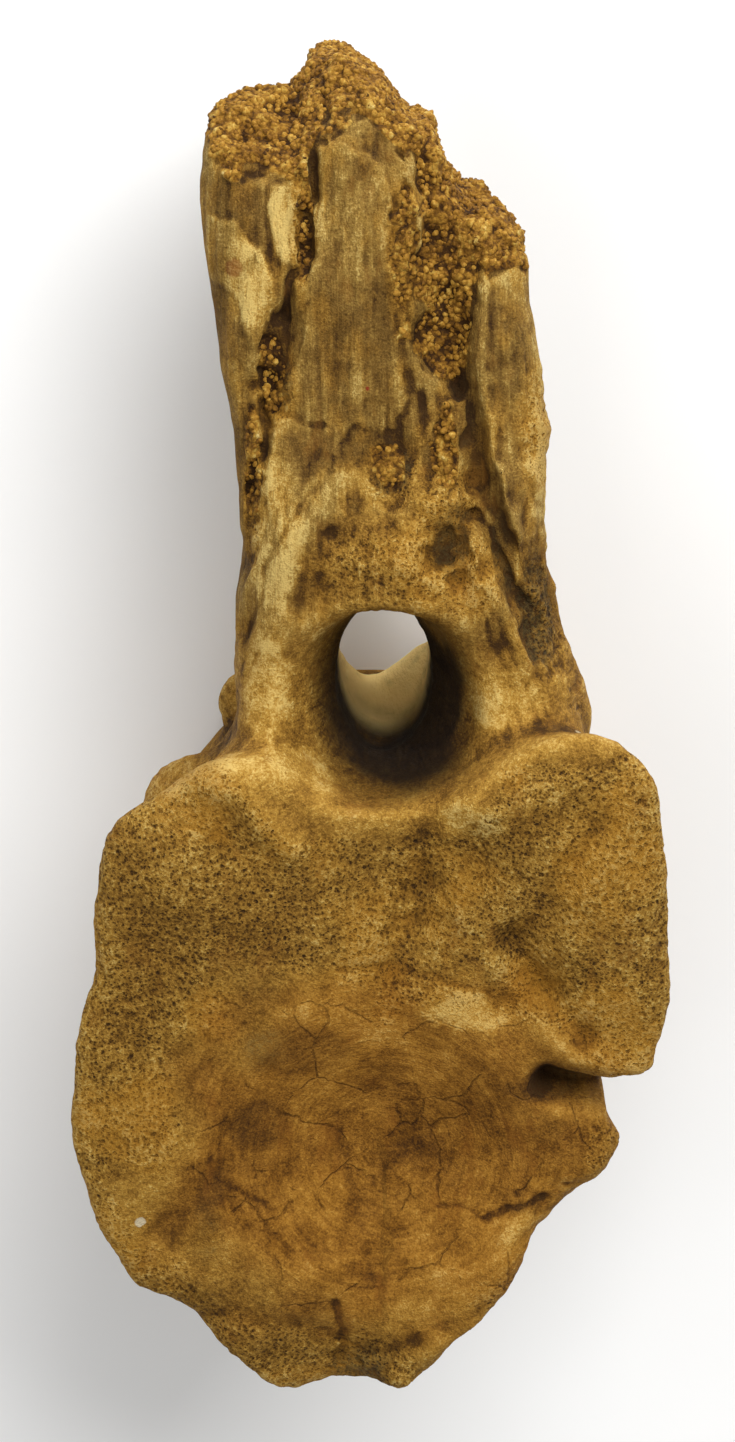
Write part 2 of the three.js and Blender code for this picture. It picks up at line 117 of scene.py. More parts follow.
BOSSES = [                                     # x, y, z, radius, blend
    (-15, -43, 6, 7, 8),                       # facets for the chevron bone below
    (10, -43, 6, 7, 8),
    (-34.5, 39, 44, 7, 14),                    # worn roots of the side processes
    (31, 42, 42, 9, 9),
    (-23.5, 48.5, 10, 7, 4),                   # left rear root of the arch
]
CANAL_SILL = (14, 47.5, 14, 14.5, 4)
DENT_Y, DENT_Z, DENT_REACH_Y, DENT_REACH_Z, DENT_DEPTH = 4, 42, 17, 15, 3.5

CANAL = np.array([                             # z, half width, floor, roof
    (0, 10, 57.5, 82), (14, 8.5, 55.5, 79), (30, 7.6, 52, 76), (54, 8, 51, 76.5),
    (66, 13, 50.2, 78.3), (74, 19, 48.5, 79.5), (90, 25, 46, 86),
])
CANAL_EDGE_ROUND = 2.5

ARCH = np.array([                              # y, left, right, front, back, plate, keel
    (44, -23, 30, 73, 20, 53, 22), (51, -24, 32, 73, 19, 54, 22), (59, -25, 33.2, 72.5, 19, 52, 22),
    (66, -25.4, 32, 71, 20, 48, 22), (73, -25.4, 28.2, 70.5, 21, 42, 19),
    (80, -25.2, 26.5, 70.5, 22, 34, 16), (87, -24.4, 25.2, 70.5, 23, 27, 14),
    (98, -25, 27.2, 68, 22, 22, 12), (108, -26.2, 27.4, 66, 21, 19.5, 10),
    (118, -28, 24.4, 64.5, 20, 18.5, 9.5), (129, -29.5, 21.8, 63, 19.5, 18, 9),
    (137, -30.4, 23.9, 62, 19, 17.5, 9), (146, -31.4, 22, 61, 18, 17.5, 9),
    (156, -31.6, 20, 60, 17, 17.5, 10), (176, -31, 16, 58.5, 15, 17.5, 11),
])
ARCH_FOOT, ARCH_FILLET, ARCH_ROUND = 42, 9, 8
KEEL_BLEND, KEEL_ROUND, KEEL_INSET, KEEL_SHIFT = 11, 7, 10, 0.4
ARCH_SWELLS = [                                # x, y, reach, rise
    (4, 88, 14, 3.2),                          # worn roots of the joint processes
    (10.6, 90, 3.2, -6),                       # dark pit in them
    (2, 106, 6, -2.4),                         # upper hollow
    (-4, 135, 16, 1.8),                        # front lamina
]
ARCH_LINES = [                                 # points, half width, rise
    ([(-17, 127), (-19.5, 118.5), (-20.5, 113)], 3.2, -2.6),                    # hollow in the left crack
    ([(12.5, 115), (15.5, 102), (18, 94), (22, 83), (30, 70)], 2.8, -3.4),      # foot of the fracture
    ([(-8, 102), (-12.5, 95), (-16.2, 89), (-17.5, 82), (-19, 74)], 3.4, 1.6),  # left arm of the arch
    ([(-15, 77), (-8, 79.5), (0, 80), (8, 79), (14, 76)], 2.8, 1.0),            # canal's upper lip
]
REAR_SWELLS = [(-10, 92, 8, 6), (10, 92, 8, 6)]
FLANK_RIDGE = [(17, 140, 56), (20.5, 118, 57), (21.5, 98, 58), (21.3, 85, 58), (27.3, 67, 57), (30, 58, 56)]
RIDGE_RADIUS, RIDGE_BLEND = 5.5, 5

BREAK_LINE = np.array([                        # x, height of the crest, height of the front edge
    (-32.5, 150, 148), (-31, 154.5, 151), (-29.5, 160.5, 153.5), (-27.6, 162.7, 153.8),
    (-24.5, 165, 153.6), (-20.8, 167.6, 153.5), (-16, 170.5, 152.8), (-12.5, 170.6, 156),
    (-9.5, 170.7, 159.4), (-7.5, 170.8, 160.5), (-5, 169.5, 161.5), (-2.5, 167.5, 162),
    (0, 165, 160), (2.7, 161.8, 158), (4.5, 160.3, 157), (7, 160.2, 155.5), (8.7, 159.3, 154.5),
    (10, 154.5, 151), (13, 149.8, 143), (16.5, 149, 140), (19.7, 146.4, 139.5), (22.7, 142, 139),
    (24.2, 138.5, 136),
])
BREAK_FRONT, BREAK_RAMP, BREAK_ROUND = 60, 0.8, 3
WAVES = [(0.55, (6.1, 7.3, 6.7), (1.3, 0.4, 2.1)), (0.35, (3.4, 3.9, 3.6), (2.2, 1.7, 0.6))]

SUTURE_Y, ROOF_Y, SPINE_Y = 60.5, 72.5, 104
TIP_CUT_Y, TIP_CUT_Z, TIP_CUT_FALL = 160.5, 28, 0.3
LEFT_CRACK_CUT = [(-14, 158), (-23, 100)]
FRACTURE_LEFT_CUT = [(9.5, 158), (14, 104)]
FRACTURE_RIGHT_CUT = [(15, 158), (19, 104)]


# Finer forms of the body's front face

BODY_LINES = [                                 # points, half width, rise
    ([(-7, 19.5), (1, 19.6), (7, 17.8), (14.5, 16)], 0.9, -0.5),                # step over the dish
    ([(-34, -15.6), (-29.5, -13.8), (-28.3, -18), (-25, -20.5), (-20, -23.3)], 0.45, -0.2),
    ([(-30, -20), (-30, -14.5), (-26.5, -9)], 0.45, -0.18),
    ([(9, -24.7), (13, -24.4), (17.5, -26), (24.5, -23.2), (32, -20)], 0.45, -0.28),
    ([(18.5, -26.4), (24.5, -24), (33, -20.5)], 1.4, -0.45),                    # its wide outer end
    ([(-7.5, -8), (-6.5, -16), (-5, -25), (-4, -30), (-1.5, -38)], 1.8, -0.3),  # band down the dish
    ([(-8, -41.5), (-7, -48.5), (-9, -54)], 0.9, -0.5),                         # crack to the lip
    ([(-34.5, -43.8), (-22.5, -43.4), (-9, -48.3), (-1.5, -51.3), (6, -48.3)], 1.8, -0.6),
    ([(26, -30.5), (20, -41), (11, -46)], 2.4, -1.0),                           # step, lower right
    ([(-30, -28), (-20, -33), (-10, -37)], 3.5, 0.7),
    ([(14, -46), (6, -51), (-3, -53)], 2.6, 1.0),
    ([(-28, -24), (-17, -27), (-12, -34)], 1.2, 0.4),                           # flakes low in the dish
    ([(4, -33), (12, -36), (20, -33)], 1.4, 0.4),
]
BODY_PITS = [                                  # x, y, reach, rise
    (-26.5, 43, 3.6, -1.2), (27, 17, 4, -1.2), (-27, -2, 7, -0.6), (2, -56.5, 2.4, 2.0),
    (-12, 26, 5, 0.8), (12, 27, 5, 0.9), (31, 24, 3.4, 1.0), (-36, 10, 5, 0.7),
]


# Finer forms of the arch's and the spine's front

SPINE_LINES = [                                # points, half width, rise
    ([(-11.5, 158), (-12.6, 152.5), (-12.3, 147.5), (-13.8, 142.5), (-13.4, 138), (-15.5, 133), (-17, 127)],
     0.9, -2.0),                                                                # left crack
    ([(-19.8, 112.7), (-20.2, 108), (-21.6, 103), (-22.4, 94), (-23.5, 84)], 1.0, -1.7),
    ([(-20, 111.8), (-16.6, 111.5), (-13.8, 110.6), (-10.5, 110)], 0.5, -0.5),  # cross crack
    ([(15, 95), (20, 87), (23.4, 78.4), (25.5, 71)], 0.9, -1.4),                # furrows down the right arm
    ([(24, 97), (24.5, 86), (27, 77)], 1.0, -1.2),
    ([(19, 103), (21, 95), (26, 80), (30, 67)], 0.9, 0.9),                      # ribs between them
    ([(14, 90), (18.5, 82), (24, 71)], 1.0, 0.8),
    ([(4.5, 118), (6, 112), (8, 104), (7.5, 99)], 1.1, -0.8),
    ([(17.6, 139), (16.6, 131), (16, 122.5), (16.6, 114), (17.6, 105.6), (20, 98), (24, 91)],
     1.4, 1.6),                                                                 # right plate's edge
    ([(5, 109), (9, 106.5), (13, 104.5)], 2.4, 0.9),
    ([(-5.6, 156), (-5.2, 142), (-4.6, 128), (-5, 116)], 2.2, 0.7),
    ([(9.3, 155), (9, 148), (9.6, 142)], 1.1, 1.6),                             # lip in the fracture
]
FRACTURE = [
    (3, 162), (4.4, 152), (5.2, 143.5), (3.8, 134), (5.2, 128), (4.2, 122.6), (6.8, 119.5), (9, 115.5),
    (12, 113), (14, 115.5), (15.2, 123), (15.7, 132), (17, 139), (19, 146), (16, 156), (11, 162),
]
FRACTURE_DEPTH, FRACTURE_FALL, FRACTURE_TOP_Y = 5.2, 2.6, 150
FLAKE_LEFT = [
    (-31, 144.5), (-24.8, 143.7), (-22, 140), (-19.6, 138), (-17.9, 133.8), (-17.6, 129.6), (-19.2, 125.6),
    (-21.1, 121.5), (-23.5, 124), (-24.9, 128.2), (-26, 131), (-31, 133),
]
FLAKE_UPPER = [
    (-19.6, 149.7), (-16.1, 150.6), (-14, 148.4), (-14.6, 145.6), (-16, 142.8), (-16.1, 136.6),
    (-17.5, 135.4), (-18.6, 138.5), (-19.4, 142.8),
]
PLATE_MIDDLE = [
    (-10.5, 158), (-8.5, 158.7), (-4.7, 155.3), (0.1, 153.2), (2, 148), (1.4, 140), (2.6, 131), (2.2, 121),
    (4, 114), (2, 108.5), (-6, 109.5), (-10, 103), (-14, 97), (-18, 90), (-20.5, 96), (-19.8, 104),
    (-18.8, 111), (-14, 111.5), (-17, 116.5), (-14.5, 121), (-14.8, 131), (-11.8, 138), (-11.2, 148),
]
FLAKES = [                                     # outline, rise
    (FLAKE_LEFT, 0.6),
    (FLAKE_UPPER, 0.7),
    (PLATE_MIDDLE, 0.45),
    ([(8.9, 114), (13.4, 113.6), (13.8, 109), (12.1, 105), (9.3, 109.2)], 1.2),
    ([(-31, 121), (-24.5, 120.5), (-23.8, 112), (-24.6, 104), (-31, 103)], 0.4),
    ([(19, 138), (23.8, 137), (24, 126), (20.5, 119), (18.2, 124), (18, 131)], 0.6),
]
FLAKE_EDGE = 0.7
ARCH_PITS = [                                  # x, y, reach, rise
    (12.2, 84.8, 1.8, -2.2), (7.2, 93.5, 1.6, -1.4), (2, 98.3, 2, -1.3), (-9.4, 92.5, 1.2, -1.0),
    (4, 87, 5, 1.0), (13, 89, 4, 1.2), (25.2, 112, 1.6, -1.5), (24.6, 106, 1.8, -1.6),
    (-21, 116.5, 2.2, -1.2), (17, 87, 2, -1.4), (13.6, 95, 2.2, -2.2), (8.4, 87.6, 1.8, -1.8),
    (14.4, 100, 1.8, -1.6), (5, 95, 1.3, -1.0), (-3, 90, 1.2, -0.8),
]
GRAIN_ROOM = 0.6                               # how far the broken surface is sunk, for the grains on it
GRAIN_SINK = 0.25                              # how far the grains' middles lie below it
GRAIN_RADIUS, GRAIN_SPACING, GRAIN_LUMPS = 0.5, 0.64, 1.1
GRAIN_SMALLEST, GRAIN_LARGEST = 0.55, 1.45     # shares of the radius


# Where the surface differs: each place is a middle and a reach on each axis

SPONGY_PLACES = [                              # where the spongy inside of the bone shows
    (0, 86, 68, 14, 10, 12), (1, 101, 66, 6, 6, 8), (10, 96, 66, 6, 8, 8), (14, 84, 66, 7, 9, 9),
    (-18, 116, 62, 4, 7, 8), (26, 109, 56, 5, 12, 12), (3, 32, 80, 8, 13, 8), (24, 18, 80, 9, 8, 8),
    (40, 2, 74, 9, 7, 10), (-34.5, 39, 44, 9, 9, 10), (31, 42, 42, 9, 9, 10), (3, 138, 66, 3, 15, 6),
    (-14, 142, 62, 1.6, 14, 6), (-22, 98, 64, 2, 14, 8), (26, 76, 64, 7, 14, 8),
]
DARK_PLACES = [                                # stains, and painted shade in hollows, cracks and the dish's upper left
    (-15, 5, 76, 12, 7, 12), (-22, -9, 76, 7, 6, 8), (28, -2, 76, 9, 3.4, 12),
    (-25, 148, 60, 5, 5, 6), (-3, -56, 68, 9, 8, 14), (11, 91, 66, 4.5, 9, 8),
    (26, -23, 76, 8, 3, 10), (28, -33, 74, 5, 8, 10),
    (20, 90, 66, 2.5, 12, 8), (13, 112, 60, 2.5, 12, 8), (-18, 117, 62, 3.5, 6, 8),
    (-13, 145, 62, 1.2, 14, 6), (25.5, 78, 64, 4, 14, 8), (1, 103, 66, 4, 5, 8), (-30, -22, 76, 5, 16, 8),
]
RUBBLE_PLACES = [                              # cracks and hollows with sand in them
    (3.6, 140, 66, 3, 15, 8), (-13.3, 143, 62, 1.4, 14, 6), (-18.6, 118, 62, 2.6, 8, 8),
    (10, 106, 66, 3, 7, 8), (1, 103, 66, 3.4, 5, 8), (-22, 102, 62, 1.6, 12, 8),
]
CRUMBLY_PLACES = [                             # where the surface is broken up into lumps
    (28, -22, 76, 8, 4, 10), (27, -34, 74, 7, 9, 10), (-2, -54, 70, 10, 5, 10),
    (11, 90, 66, 9, 11, 12), (1, 103, 66, 5, 6, 8), (-18, 117, 62, 4, 8, 8), (26, 78, 64, 7, 16, 10),
    (4, 138, 66, 4, 16, 8), (-13.5, 142, 62, 2, 14, 8), (26, 110, 56, 5, 10, 12), (4, 33, 80, 6, 10, 10),
]
FURROWED_PLACES = [(24, 82, 64, 9, 22, 14), (-22, 78, 62, 6, 20, 14)]
PALE_PLACES = [                                # worn places and pale outer bone, and painted light on the spine's right flank and the canal's left flare
    (-23, 134, 62, 5, 9, 5), (-17, 143, 62, 3, 8, 5), (27, 108, 52, 8, 32, 16), (-18, 92, 68, 6, 16, 8),
    (20, 64, 72, 9, 6, 8), (-8, 54, 76, 16, 5, 8), (-30, 52, 76, 10, 6, 8), (40, 44, 74, 10, 10, 10),
    (-42, -54, 66, 8, 8, 10), (2, -52, 70, 10, 4, 8), (-6, 98, 68, 10, 6, 6), (16, 46, 80, 9, 5, 6),
    (15, 12, 80, 9, 4, 8), (-20, 66, 72, 6, 10, 8),
]


# Shaping functions

def soft_min(a, b, k):
    return np.minimum(a, b) - np.maximum(k - np.abs(a - b), 0) ** 2 / (4 * k)


def soft_max(a, b, k):
    return -soft_min(-a, -b, k)


def bell(distance, reach):
    return np.exp(-((distance / reach) ** 2))


def smooth_step(low, high, value):
    share = np.clip((value - low) / (high - low), 0, 1)
    return share * share * (3 - 2 * share)


def lerp(a, b, share):
    return a + (b - a) * share


def segment_distance(point, a, b):
    """Distance from arrays of coordinates to the stretch from a to b, on the flat or in space."""
    run = [end - start for start, end in zip(a, b)]
    dot = sum(r * (p - start) for r, p, start in zip(run, point, a))
    share = np.clip(dot / sum(r * r for r in run), 0, 1)
    return np.sqrt(sum((p - start - share * r) ** 2 for r, p, start in zip(run, point, a)))


def path_distance(point, path):
    nearest = segment_distance(point, path[0], path[1])
    for a, b in zip(path[1:], path[2:]):
        nearest = np.minimum(nearest, segment_distance(point, a, b))
    return nearest


def depth_inside(x, y, outline):
    """How far a point lies inside a closed outline, negative outside."""
    closed = outline + outline[:1]
    inside = np.zeros(np.broadcast(x, y).shape, bool)
    for (ax, ay), (bx, by) in zip(closed, closed[1:]):
        if ay != by:
            crossed = (ay > y) != (by > y)
            inside ^= crossed & (x < ax + (y - ay) / (by - ay) * (bx - ax))
    distance = path_distance((x, y), closed)
    return np.where(inside, distance, -distance)


def lump_sum(x, y, lumps):
    return sum(rise * bell(np.hypot(x - lx, y - ly), reach) for lx, ly, reach, rise in lumps)


def line_sum(x, y, lines):
    return sum(height * bell(path_distance((x, y), path), half_width) for path, half_width, height in lines)


def rounded_box(u, v, half_u, half_v, radius):
    qu = np.abs(u) - half_u + radius
    qv = np.abs(v) - half_v + radius
    return np.hypot(np.maximum(qu, 0), np.maximum(qv, 0)) + np.minimum(np.maximum(qu, qv), 0) - radius


def ball(x, y, z, at):
    return np.sqrt((x - at[0]) ** 2 + (y - at[1]) ** 2 + (z - at[2]) ** 2) - at[3]


# Noise

LATTICE = 64                                   # the lattice repeats after this many cells
TURN = np.array([(0.80, 0.48, -0.36), (-0.60, 0.64, -0.48), (0.0, 0.60, 0.80)])


def noise(points, size, seed):
    """Smooth noise from -1 to 1 with lumps of that size, which is one number or one for each axis."""
    table = np.random.default_rng(seed).random((LATTICE, LATTICE, LATTICE), np.float32)
    at = points / np.asarray(size)
    if np.isscalar(size):
        at = at @ TURN
    at = at + seed * 7.31
    cell = np.floor(at)
    share = (at - cell).astype(np.float32)
    share = share * share * (3 - 2 * share)
    low = cell.astype(np.int64) % LATTICE
    high = (low + 1) % LATTICE
    total = np.zeros(len(at), np.float32)
    for corner in range(8):
        upper = [(corner >> axis) & 1 for axis in range(3)]
        index = tuple(high[:, n] if upper[n] else low[:, n] for n in range(3))
        weights = [share[:, n] if upper[n] else 1 - share[:, n] for n in range(3)]
        total += weights[0] * weights[1] * weights[2] * table[index]
    return total * 2 - 1


def cell_distance(points, size, seed):
    """Distance to the nearest of points scattered about that far apart, as a share of it."""
    seats = np.random.default_rng(seed).random((LATTICE, LATTICE, LATTICE, 3), np.float32)
    at = ((points / size) @ TURN).astype(np.float32)
    cell = np.floor(at).astype(np.int64)
    nearest = np.full(len(at), 9.0, np.float32)
    for step in np.ndindex(3, 3, 3):
        near = cell + np.array(step) - 1
        index = near % LATTICE
        away = at - near - seats[index[:, 0], index[:, 1], index[:, 2]]
        nearest = np.minimum(nearest, np.einsum("ij,ij->i", away, away))
    return np.sqrt(nearest)


def wandering(x, y):
    """The flat coordinates pushed about, so that lines drawn on them wander as cracks do."""
    shape = np.broadcast(x, y).shape
    flat = np.stack([np.broadcast_to(x, shape).ravel(), np.broadcast_to(y, shape).ravel()], 1)
    flat = np.pad(flat, ((0, 0), (0, 1)))
    push_x = 0.8 * noise(flat, 5.0, 11) + 0.45 * noise(flat, 2.1, 12)
    push_y = 0.8 * noise(flat, 5.0, 13) + 0.45 * noise(flat, 2.1, 14)
    return x + push_x.reshape(shape), y + push_y.reshape(shape)


# The bone's field. What depends on x and y alone is read once, and each slab of levels uses it.

def front_radius(angle):
    return np.interp(np.degrees(angle) % 360, FRONT_RIM[:, 0], FRONT_RIM[:, 1])


def rear_radius(angle):
    c, s = np.cos(angle), np.sin(angle)
    power = np.where(s > 0, REAR_SQUARE_TOP, REAR_SQUARE_BOTTOM)
    blunt = np.abs(c / REAR_HALF_WIDTH) ** power + np.abs(s / REAR_HALF_HEIGHT) ** power
    return blunt ** (-1 / power) + REAR_LIFT * s


def dish_depth(x, y, dish):
    dish_x, dish_y, half_width, half_height, depth = dish
    share = np.minimum(np.hypot((x - dish_x) / half_width, (y - dish_y) / half_height), 1)
    return depth * (0.5 + 0.5 * np.cos(np.pi * share))


class BoneMaps:
    """What the field reads at each x and y, whatever the level."""

    def __init__(self, x, y):
        self.x, self.y = x, y
        wx, wy = wandering(x, y)
        angle = np.arctan2(y - FACE_Y, x - FACE_X)
        waist = np.where(y > FACE_Y, WAIST_ABOVE, WAIST_BELOW)
        self.from_face = np.hypot(x - FACE_X, y - FACE_Y)
        self.narrowing = lerp(WAIST_SIDE, waist, np.abs(np.sin(angle)))
        self.front_rim = sum(share * front_radius(angle + turn) for turn, share in RIM_BLUR)
        self.rear_rim = rear_radius(angle)
        self.sideways = np.abs(np.cos(angle))
        self.body_front = (
            BODY_LENGTH
            - dish_depth(x, y, FRONT_DISH)
            + lump_sum(x, y, FRONT_LUMPS)
            + line_sum(x, y, FRONT_LINES)
            + lump_sum(wx, wy, BODY_PITS)
            + line_sum(wx, wy, BODY_LINES)
        )
        self.body_rear = dish_depth(x, y, REAR_DISH)
        self.notch = rounded_box(x - NOTCH_X, y - NOTCH_Y, NOTCH_HALF_X, NOTCH_HALF_Y, NOTCH_ROUND)

        self.left, self.right, front, back, self.plate, self.keel = (
            np.interp(y, ARCH[:, 0], ARCH[:, column]) for column in range(1, 7)
        )
        self.fracture = depth_inside(wx, wy, FRACTURE)
        sunk = FRACTURE_DEPTH * (1 - np.exp(-np.maximum(self.fracture, 0) / FRACTURE_FALL))
        flakes = sum(
            rise * smooth_step(0, FLAKE_EDGE, depth_inside(wx, wy, outline)) for outline, rise in FLAKES
        )
        self.arch_front = (
            front
            + lump_sum(wx, wy, ARCH_SWELLS)
            + line_sum(x, y, ARCH_LINES)
            + lump_sum(wx, wy, ARCH_PITS)
            + line_sum(wx, wy, SPINE_LINES)
            + flakes
            - sunk
        )
        self.arch_back = back - lump_sum(x, y, REAR_SWELLS)
        self.crest = np.interp(wx, BREAK_LINE[:, 0], BREAK_LINE[:, 1])
        self.break_edge = np.interp(wx, BREAK_LINE[:, 0], BREAK_LINE[:, 2])


def body_field(m, z):
    x, y = m.x, m.y
    along = np.clip(z / BODY_LENGTH, 0, 1)
    rim = lerp(m.rear_rim, m.front_rim, along ** OUTLINE_TURN)
    radius = rim * (1 - m.narrowing * np.sin(np.pi * along))
    dent = bell(y - DENT_Y, DENT_REACH_Y) * bell(z - DENT_Z, DENT_REACH_Z) * m.sideways
    side = m.from_face - radius + DENT_DEPTH * dent
    body = soft_max(side, z - m.body_front, FRONT_EDGE_ROUND)
    body = soft_max(body, m.body_rear - z, REAR_EDGE_ROUND)
    for boss in BOSSES:
        body = soft_min(body, ball(x, y, z, boss), boss[4])
    notch = soft_max(m.notch, NOTCH_FROM - z, NOTCH_FADE)
    return soft_max(body, -notch, NOTCH_EDGE_ROUND)


def above_break(m, z):
    """How far a point is above the broken surface of the tip."""
    surface = soft_min(m.crest, m.break_edge + BREAK_RAMP * (BREAK_FRONT - z), BREAK_ROUND)
    return m.y - surface + GRAIN_ROOM


def arch_field(m, z):
    x, y = m.x, m.y
    middle = (m.left + m.right) / 2
    sheet = rounded_box(
        x - middle, z - m.arch_front + m.plate / 2, (m.right - m.left) / 2, m.plate / 2, ARCH_ROUND
    )
    stem_length = m.arch_front - KEEL_INSET - m.arch_back
    stem_z = z - m.arch_back - stem_length / 2
    stem = rounded_box(x - middle * KEEL_SHIFT, stem_z, m.keel, stem_length / 2, KEEL_ROUND)
    body = soft_min(sheet, stem, KEEL_BLEND)
    body = soft_max(body, above_break(m, z), BREAK_ROUND)
    return soft_max(body, ARCH_FOOT - y, BREAK_ROUND)


def canal_field(x, y, z):
    half, floor, roof = (np.interp(z, CANAL[:, 0], CANAL[:, column]) for column in (1, 2, 3))
    tall = (roof - floor) / 2
    return (np.hypot(x / half, (y - floor - tall) / tall) - 1) * np.minimum(half, tall)


def bone_field(m, z):
    x, y = m.x, m.y
    ridge = path_distance((x, y, z), FLANK_RIDGE) - RIDGE_RADIUS
    upper = soft_min(arch_field(m, z), ridge, RIDGE_BLEND)
    joined = soft_min(body_field(m, z), upper, ARCH_FILLET)
    pierced = soft_max(joined, -canal_field(x, y, z), CANAL_EDGE_ROUND)
    field = soft_min(pierced, ball(x, y, z, CANAL_SILL), CANAL_SILL[4])
    for height, lengths, starts in WAVES:
        across, up, deep = (
            np.sin(value / length + start) for value, length, start in zip((x, y, z), lengths, starts)
        )
        field = field + height * across * up * deep
    return field


# Meshes as arrays: points in millimetres in the bone's frame, and triangles

GRID_LOW = np.array([-57.0, -64.0, -2.1])
GRID_HIGH = np.array([52.0, 175.0, 89.0])
SLAB = 12                                      # levels read at a time
SHRINK = 0.25                                  # keeps the relief inside the solids' box


def field_mesh():
    """The bone's surface, flat where it rests."""
    count = np.ceil((GRID_HIGH - GRID_LOW) / GRID_CELL).astype(int) + 1
    x, y, z = (GRID_LOW[n] + GRID_CELL * np.arange(count[n]) for n in range(3))
    maps = BoneMaps(x[:, None, None], y[None, :, None])
    values = np.empty(count, np.float32)
    for start in range(0, count[2], SLAB):
        level = z[None, None, start:start + SLAB]
        values[:, :, start:start + SLAB] = np.maximum(bone_field(maps, level) + SHRINK, -level)
    grid = openvdb.FloatGrid()
    grid.copyFromArray(values)
    points, triangles, quads = grid.convertToPolygons(isovalue=0.0, adaptivity=0.0)
    faces = np.concatenate([triangles, quads[:, [0, 1, 2]], quads[:, [0, 2, 3]]]).astype(np.int64)
    points = GRID_LOW + points * GRID_CELL
    a, b, c = (points[faces[:, n]] for n in range(3))
    inside_out = np.einsum("ij,ij->", a, np.cross(b, c)) < 0
    return points, faces[:, ::-1] if inside_out else faces


def main_island(points, faces):
    """The largest connected part of a mesh."""
    edges = np.concatenate([faces[:, [0, 1]], faces[:, [1, 2]]])
    label = np.arange(len(points))
    settled = False
    while not settled:
        low = np.minimum(label[edges[:, 0]], label[edges[:, 1]])
        lower = label.copy()
        np.minimum.at(lower, edges[:, 0], low)
        np.minimum.at(lower, edges[:, 1], low)
        lower = lower[lower]
        settled = np.array_equal(lower, label)
        label = lower
    kept = label == np.bincount(label).argmax()
    number = np.cumsum(kept) - 1
    return points[kept], number[faces[kept[faces[:, 0]]]]


def point_normals(points, faces):
    a, b, c = (points[faces[:, n]] for n in range(3))
    across = np.cross(b - a, c - a)
    normals = np.stack([
        sum(np.bincount(faces[:, n], across[:, axis], len(points)) for n in range(3)) for axis in range(3)
    ], 1)
    return normals / np.maximum(np.linalg.norm(normals, axis=1, keepdims=True), 1e-9)


def hollowness(points, faces, normals, rounds):
    """How far smoothing lifts each point, in millimetres: above 0 in hollows, below 0 on edges."""
    ends = np.concatenate([faces[:, [0, 1]], faces[:, [1, 2]], faces[:, [2, 0]]])
    neighbours = sum(np.bincount(ends[:, n], minlength=len(points)) for n in range(2))
    smooth = points.copy()
    for _ in range(rounds):
        smooth = np.stack([
            (
                np.bincount(ends[:, 0], smooth[ends[:, 1], axis], len(points))
                + np.bincount(ends[:, 1], smooth[ends[:, 0], axis], len(points))
            ) / neighbours
            for axis in range(3)
        ], 1)
    return np.einsum("ij,ij->i", smooth - points, normals)


# Where the surface differs, read at points

def strongest(points, places):
    """From 0 to 1, how near each point is to the nearest of some places, by their reach."""
    found = np.zeros(len(points))
    for place in places:
        away = (points - np.array(place[:3])) / np.array(place[3:])
        found = np.maximum(found, np.exp(-np.einsum("ij,ij->i", away, away)))
    return found


def sandy(points):
    """1 on the cemented sand of the broken tip and of the fracture, less in cracks, 0 on bone."""
    x, y, z = points.T
    wx, wy = wandering(x, y)
    surface = soft_min(
        np.interp(wx, BREAK_LINE[:, 0], BREAK_LINE[:, 1]),
        np.interp(wx, BREAK_LINE[:, 0], BREAK_LINE[:, 2]) + BREAK_RAMP * (BREAK_FRONT - z),
        BREAK_ROUND,
    )
    on_break = smooth_step(-3.4, -2.4, y - surface + 1.4 * noise(points, 4, 18))
    beside = 0.85 * smooth_step(0.35, 0.6, strongest(points, RUBBLE_PLACES) + 0.3 * noise(points, 2.2, 16))
    in_fracture = smooth_step(0, 2, depth_inside(wx, wy, FRACTURE) + noise(points, 2.6, 15)) * (z > 48)
    on_break = on_break * smooth_step(-31.5, -27.5, wx + 1.5 * noise(points, 2.4, 17))
    return np.maximum(np.maximum(on_break, in_fracture), beside)


def canal_shade(points):
    """1 where the canal is painted darkest, as painted shade with some of its own dark stain, fading out on
    its flared front end and at its sides.
    """
    x, y, z = points.T
    forward = 5 * smooth_step(60, 50, y)
    from_middle = np.hypot((x - 2.5) / 19, (y - 62) / 22)
    near = smooth_step(1, 0.35, from_middle) * smooth_step(1.4, 0.3, canal_field(x, y, z))
    return near * smooth_step(80 + forward, 62 + forward, z)


def on_flakes(points):
    """1 on the flakes of outer bone that are left on the front of the spine."""
    x, y, z = points.T
    wx, wy = wandering(x, y)
    outlines = [outline for outline, _ in FLAKES if outline is not PLATE_MIDDLE]
    depth = np.max([depth_inside(wx, wy, outline) for outline in outlines], 0)
    return smooth_step(-0.1, 0.4, depth) * (z > 50)


def on_spine(points):
    return smooth_step(64, 82, points[:, 1])


def on_flank(points):
    z = points[:, 2]
    return (1 - on_spine(points)) * smooth_step(4, 12, z) * smooth_step(74, 64, z)


def on_rim(points):
    """1 on the worn rim and the shoulders of the front face, 0 in its dish and behind it."""
    x, y, z = points.T
    dish_x, dish_y, half_width, half_height, _ = FRONT_DISH
    from_dish = np.hypot((x - dish_x) / half_width, (y - dish_y) / half_height)
    outside = smooth_step(0.78, 1.3, from_dish + 0.3 * noise(points, 9, 41))
    top = 43 + 14 * smooth_step(12, 28, np.abs(x + 2))
    return outside * smooth_step(56, 68, z) * smooth_step(top + 3, top - 3, y + 2 * noise(points, 5, 43))


def in_dish(points):
    """1 in the smooth hollow of the front face."""
    x, y, z = points.T
    dish_x, dish_y, half_width, half_height, _ = FRONT_DISH
    from_dish = np.hypot((x - dish_x) / half_width, (y - dish_y) / half_height)
    return smooth_step(1.3, 0.7, from_dish + 0.25 * noise(points, 7, 42)) * smooth_step(56, 66, z)


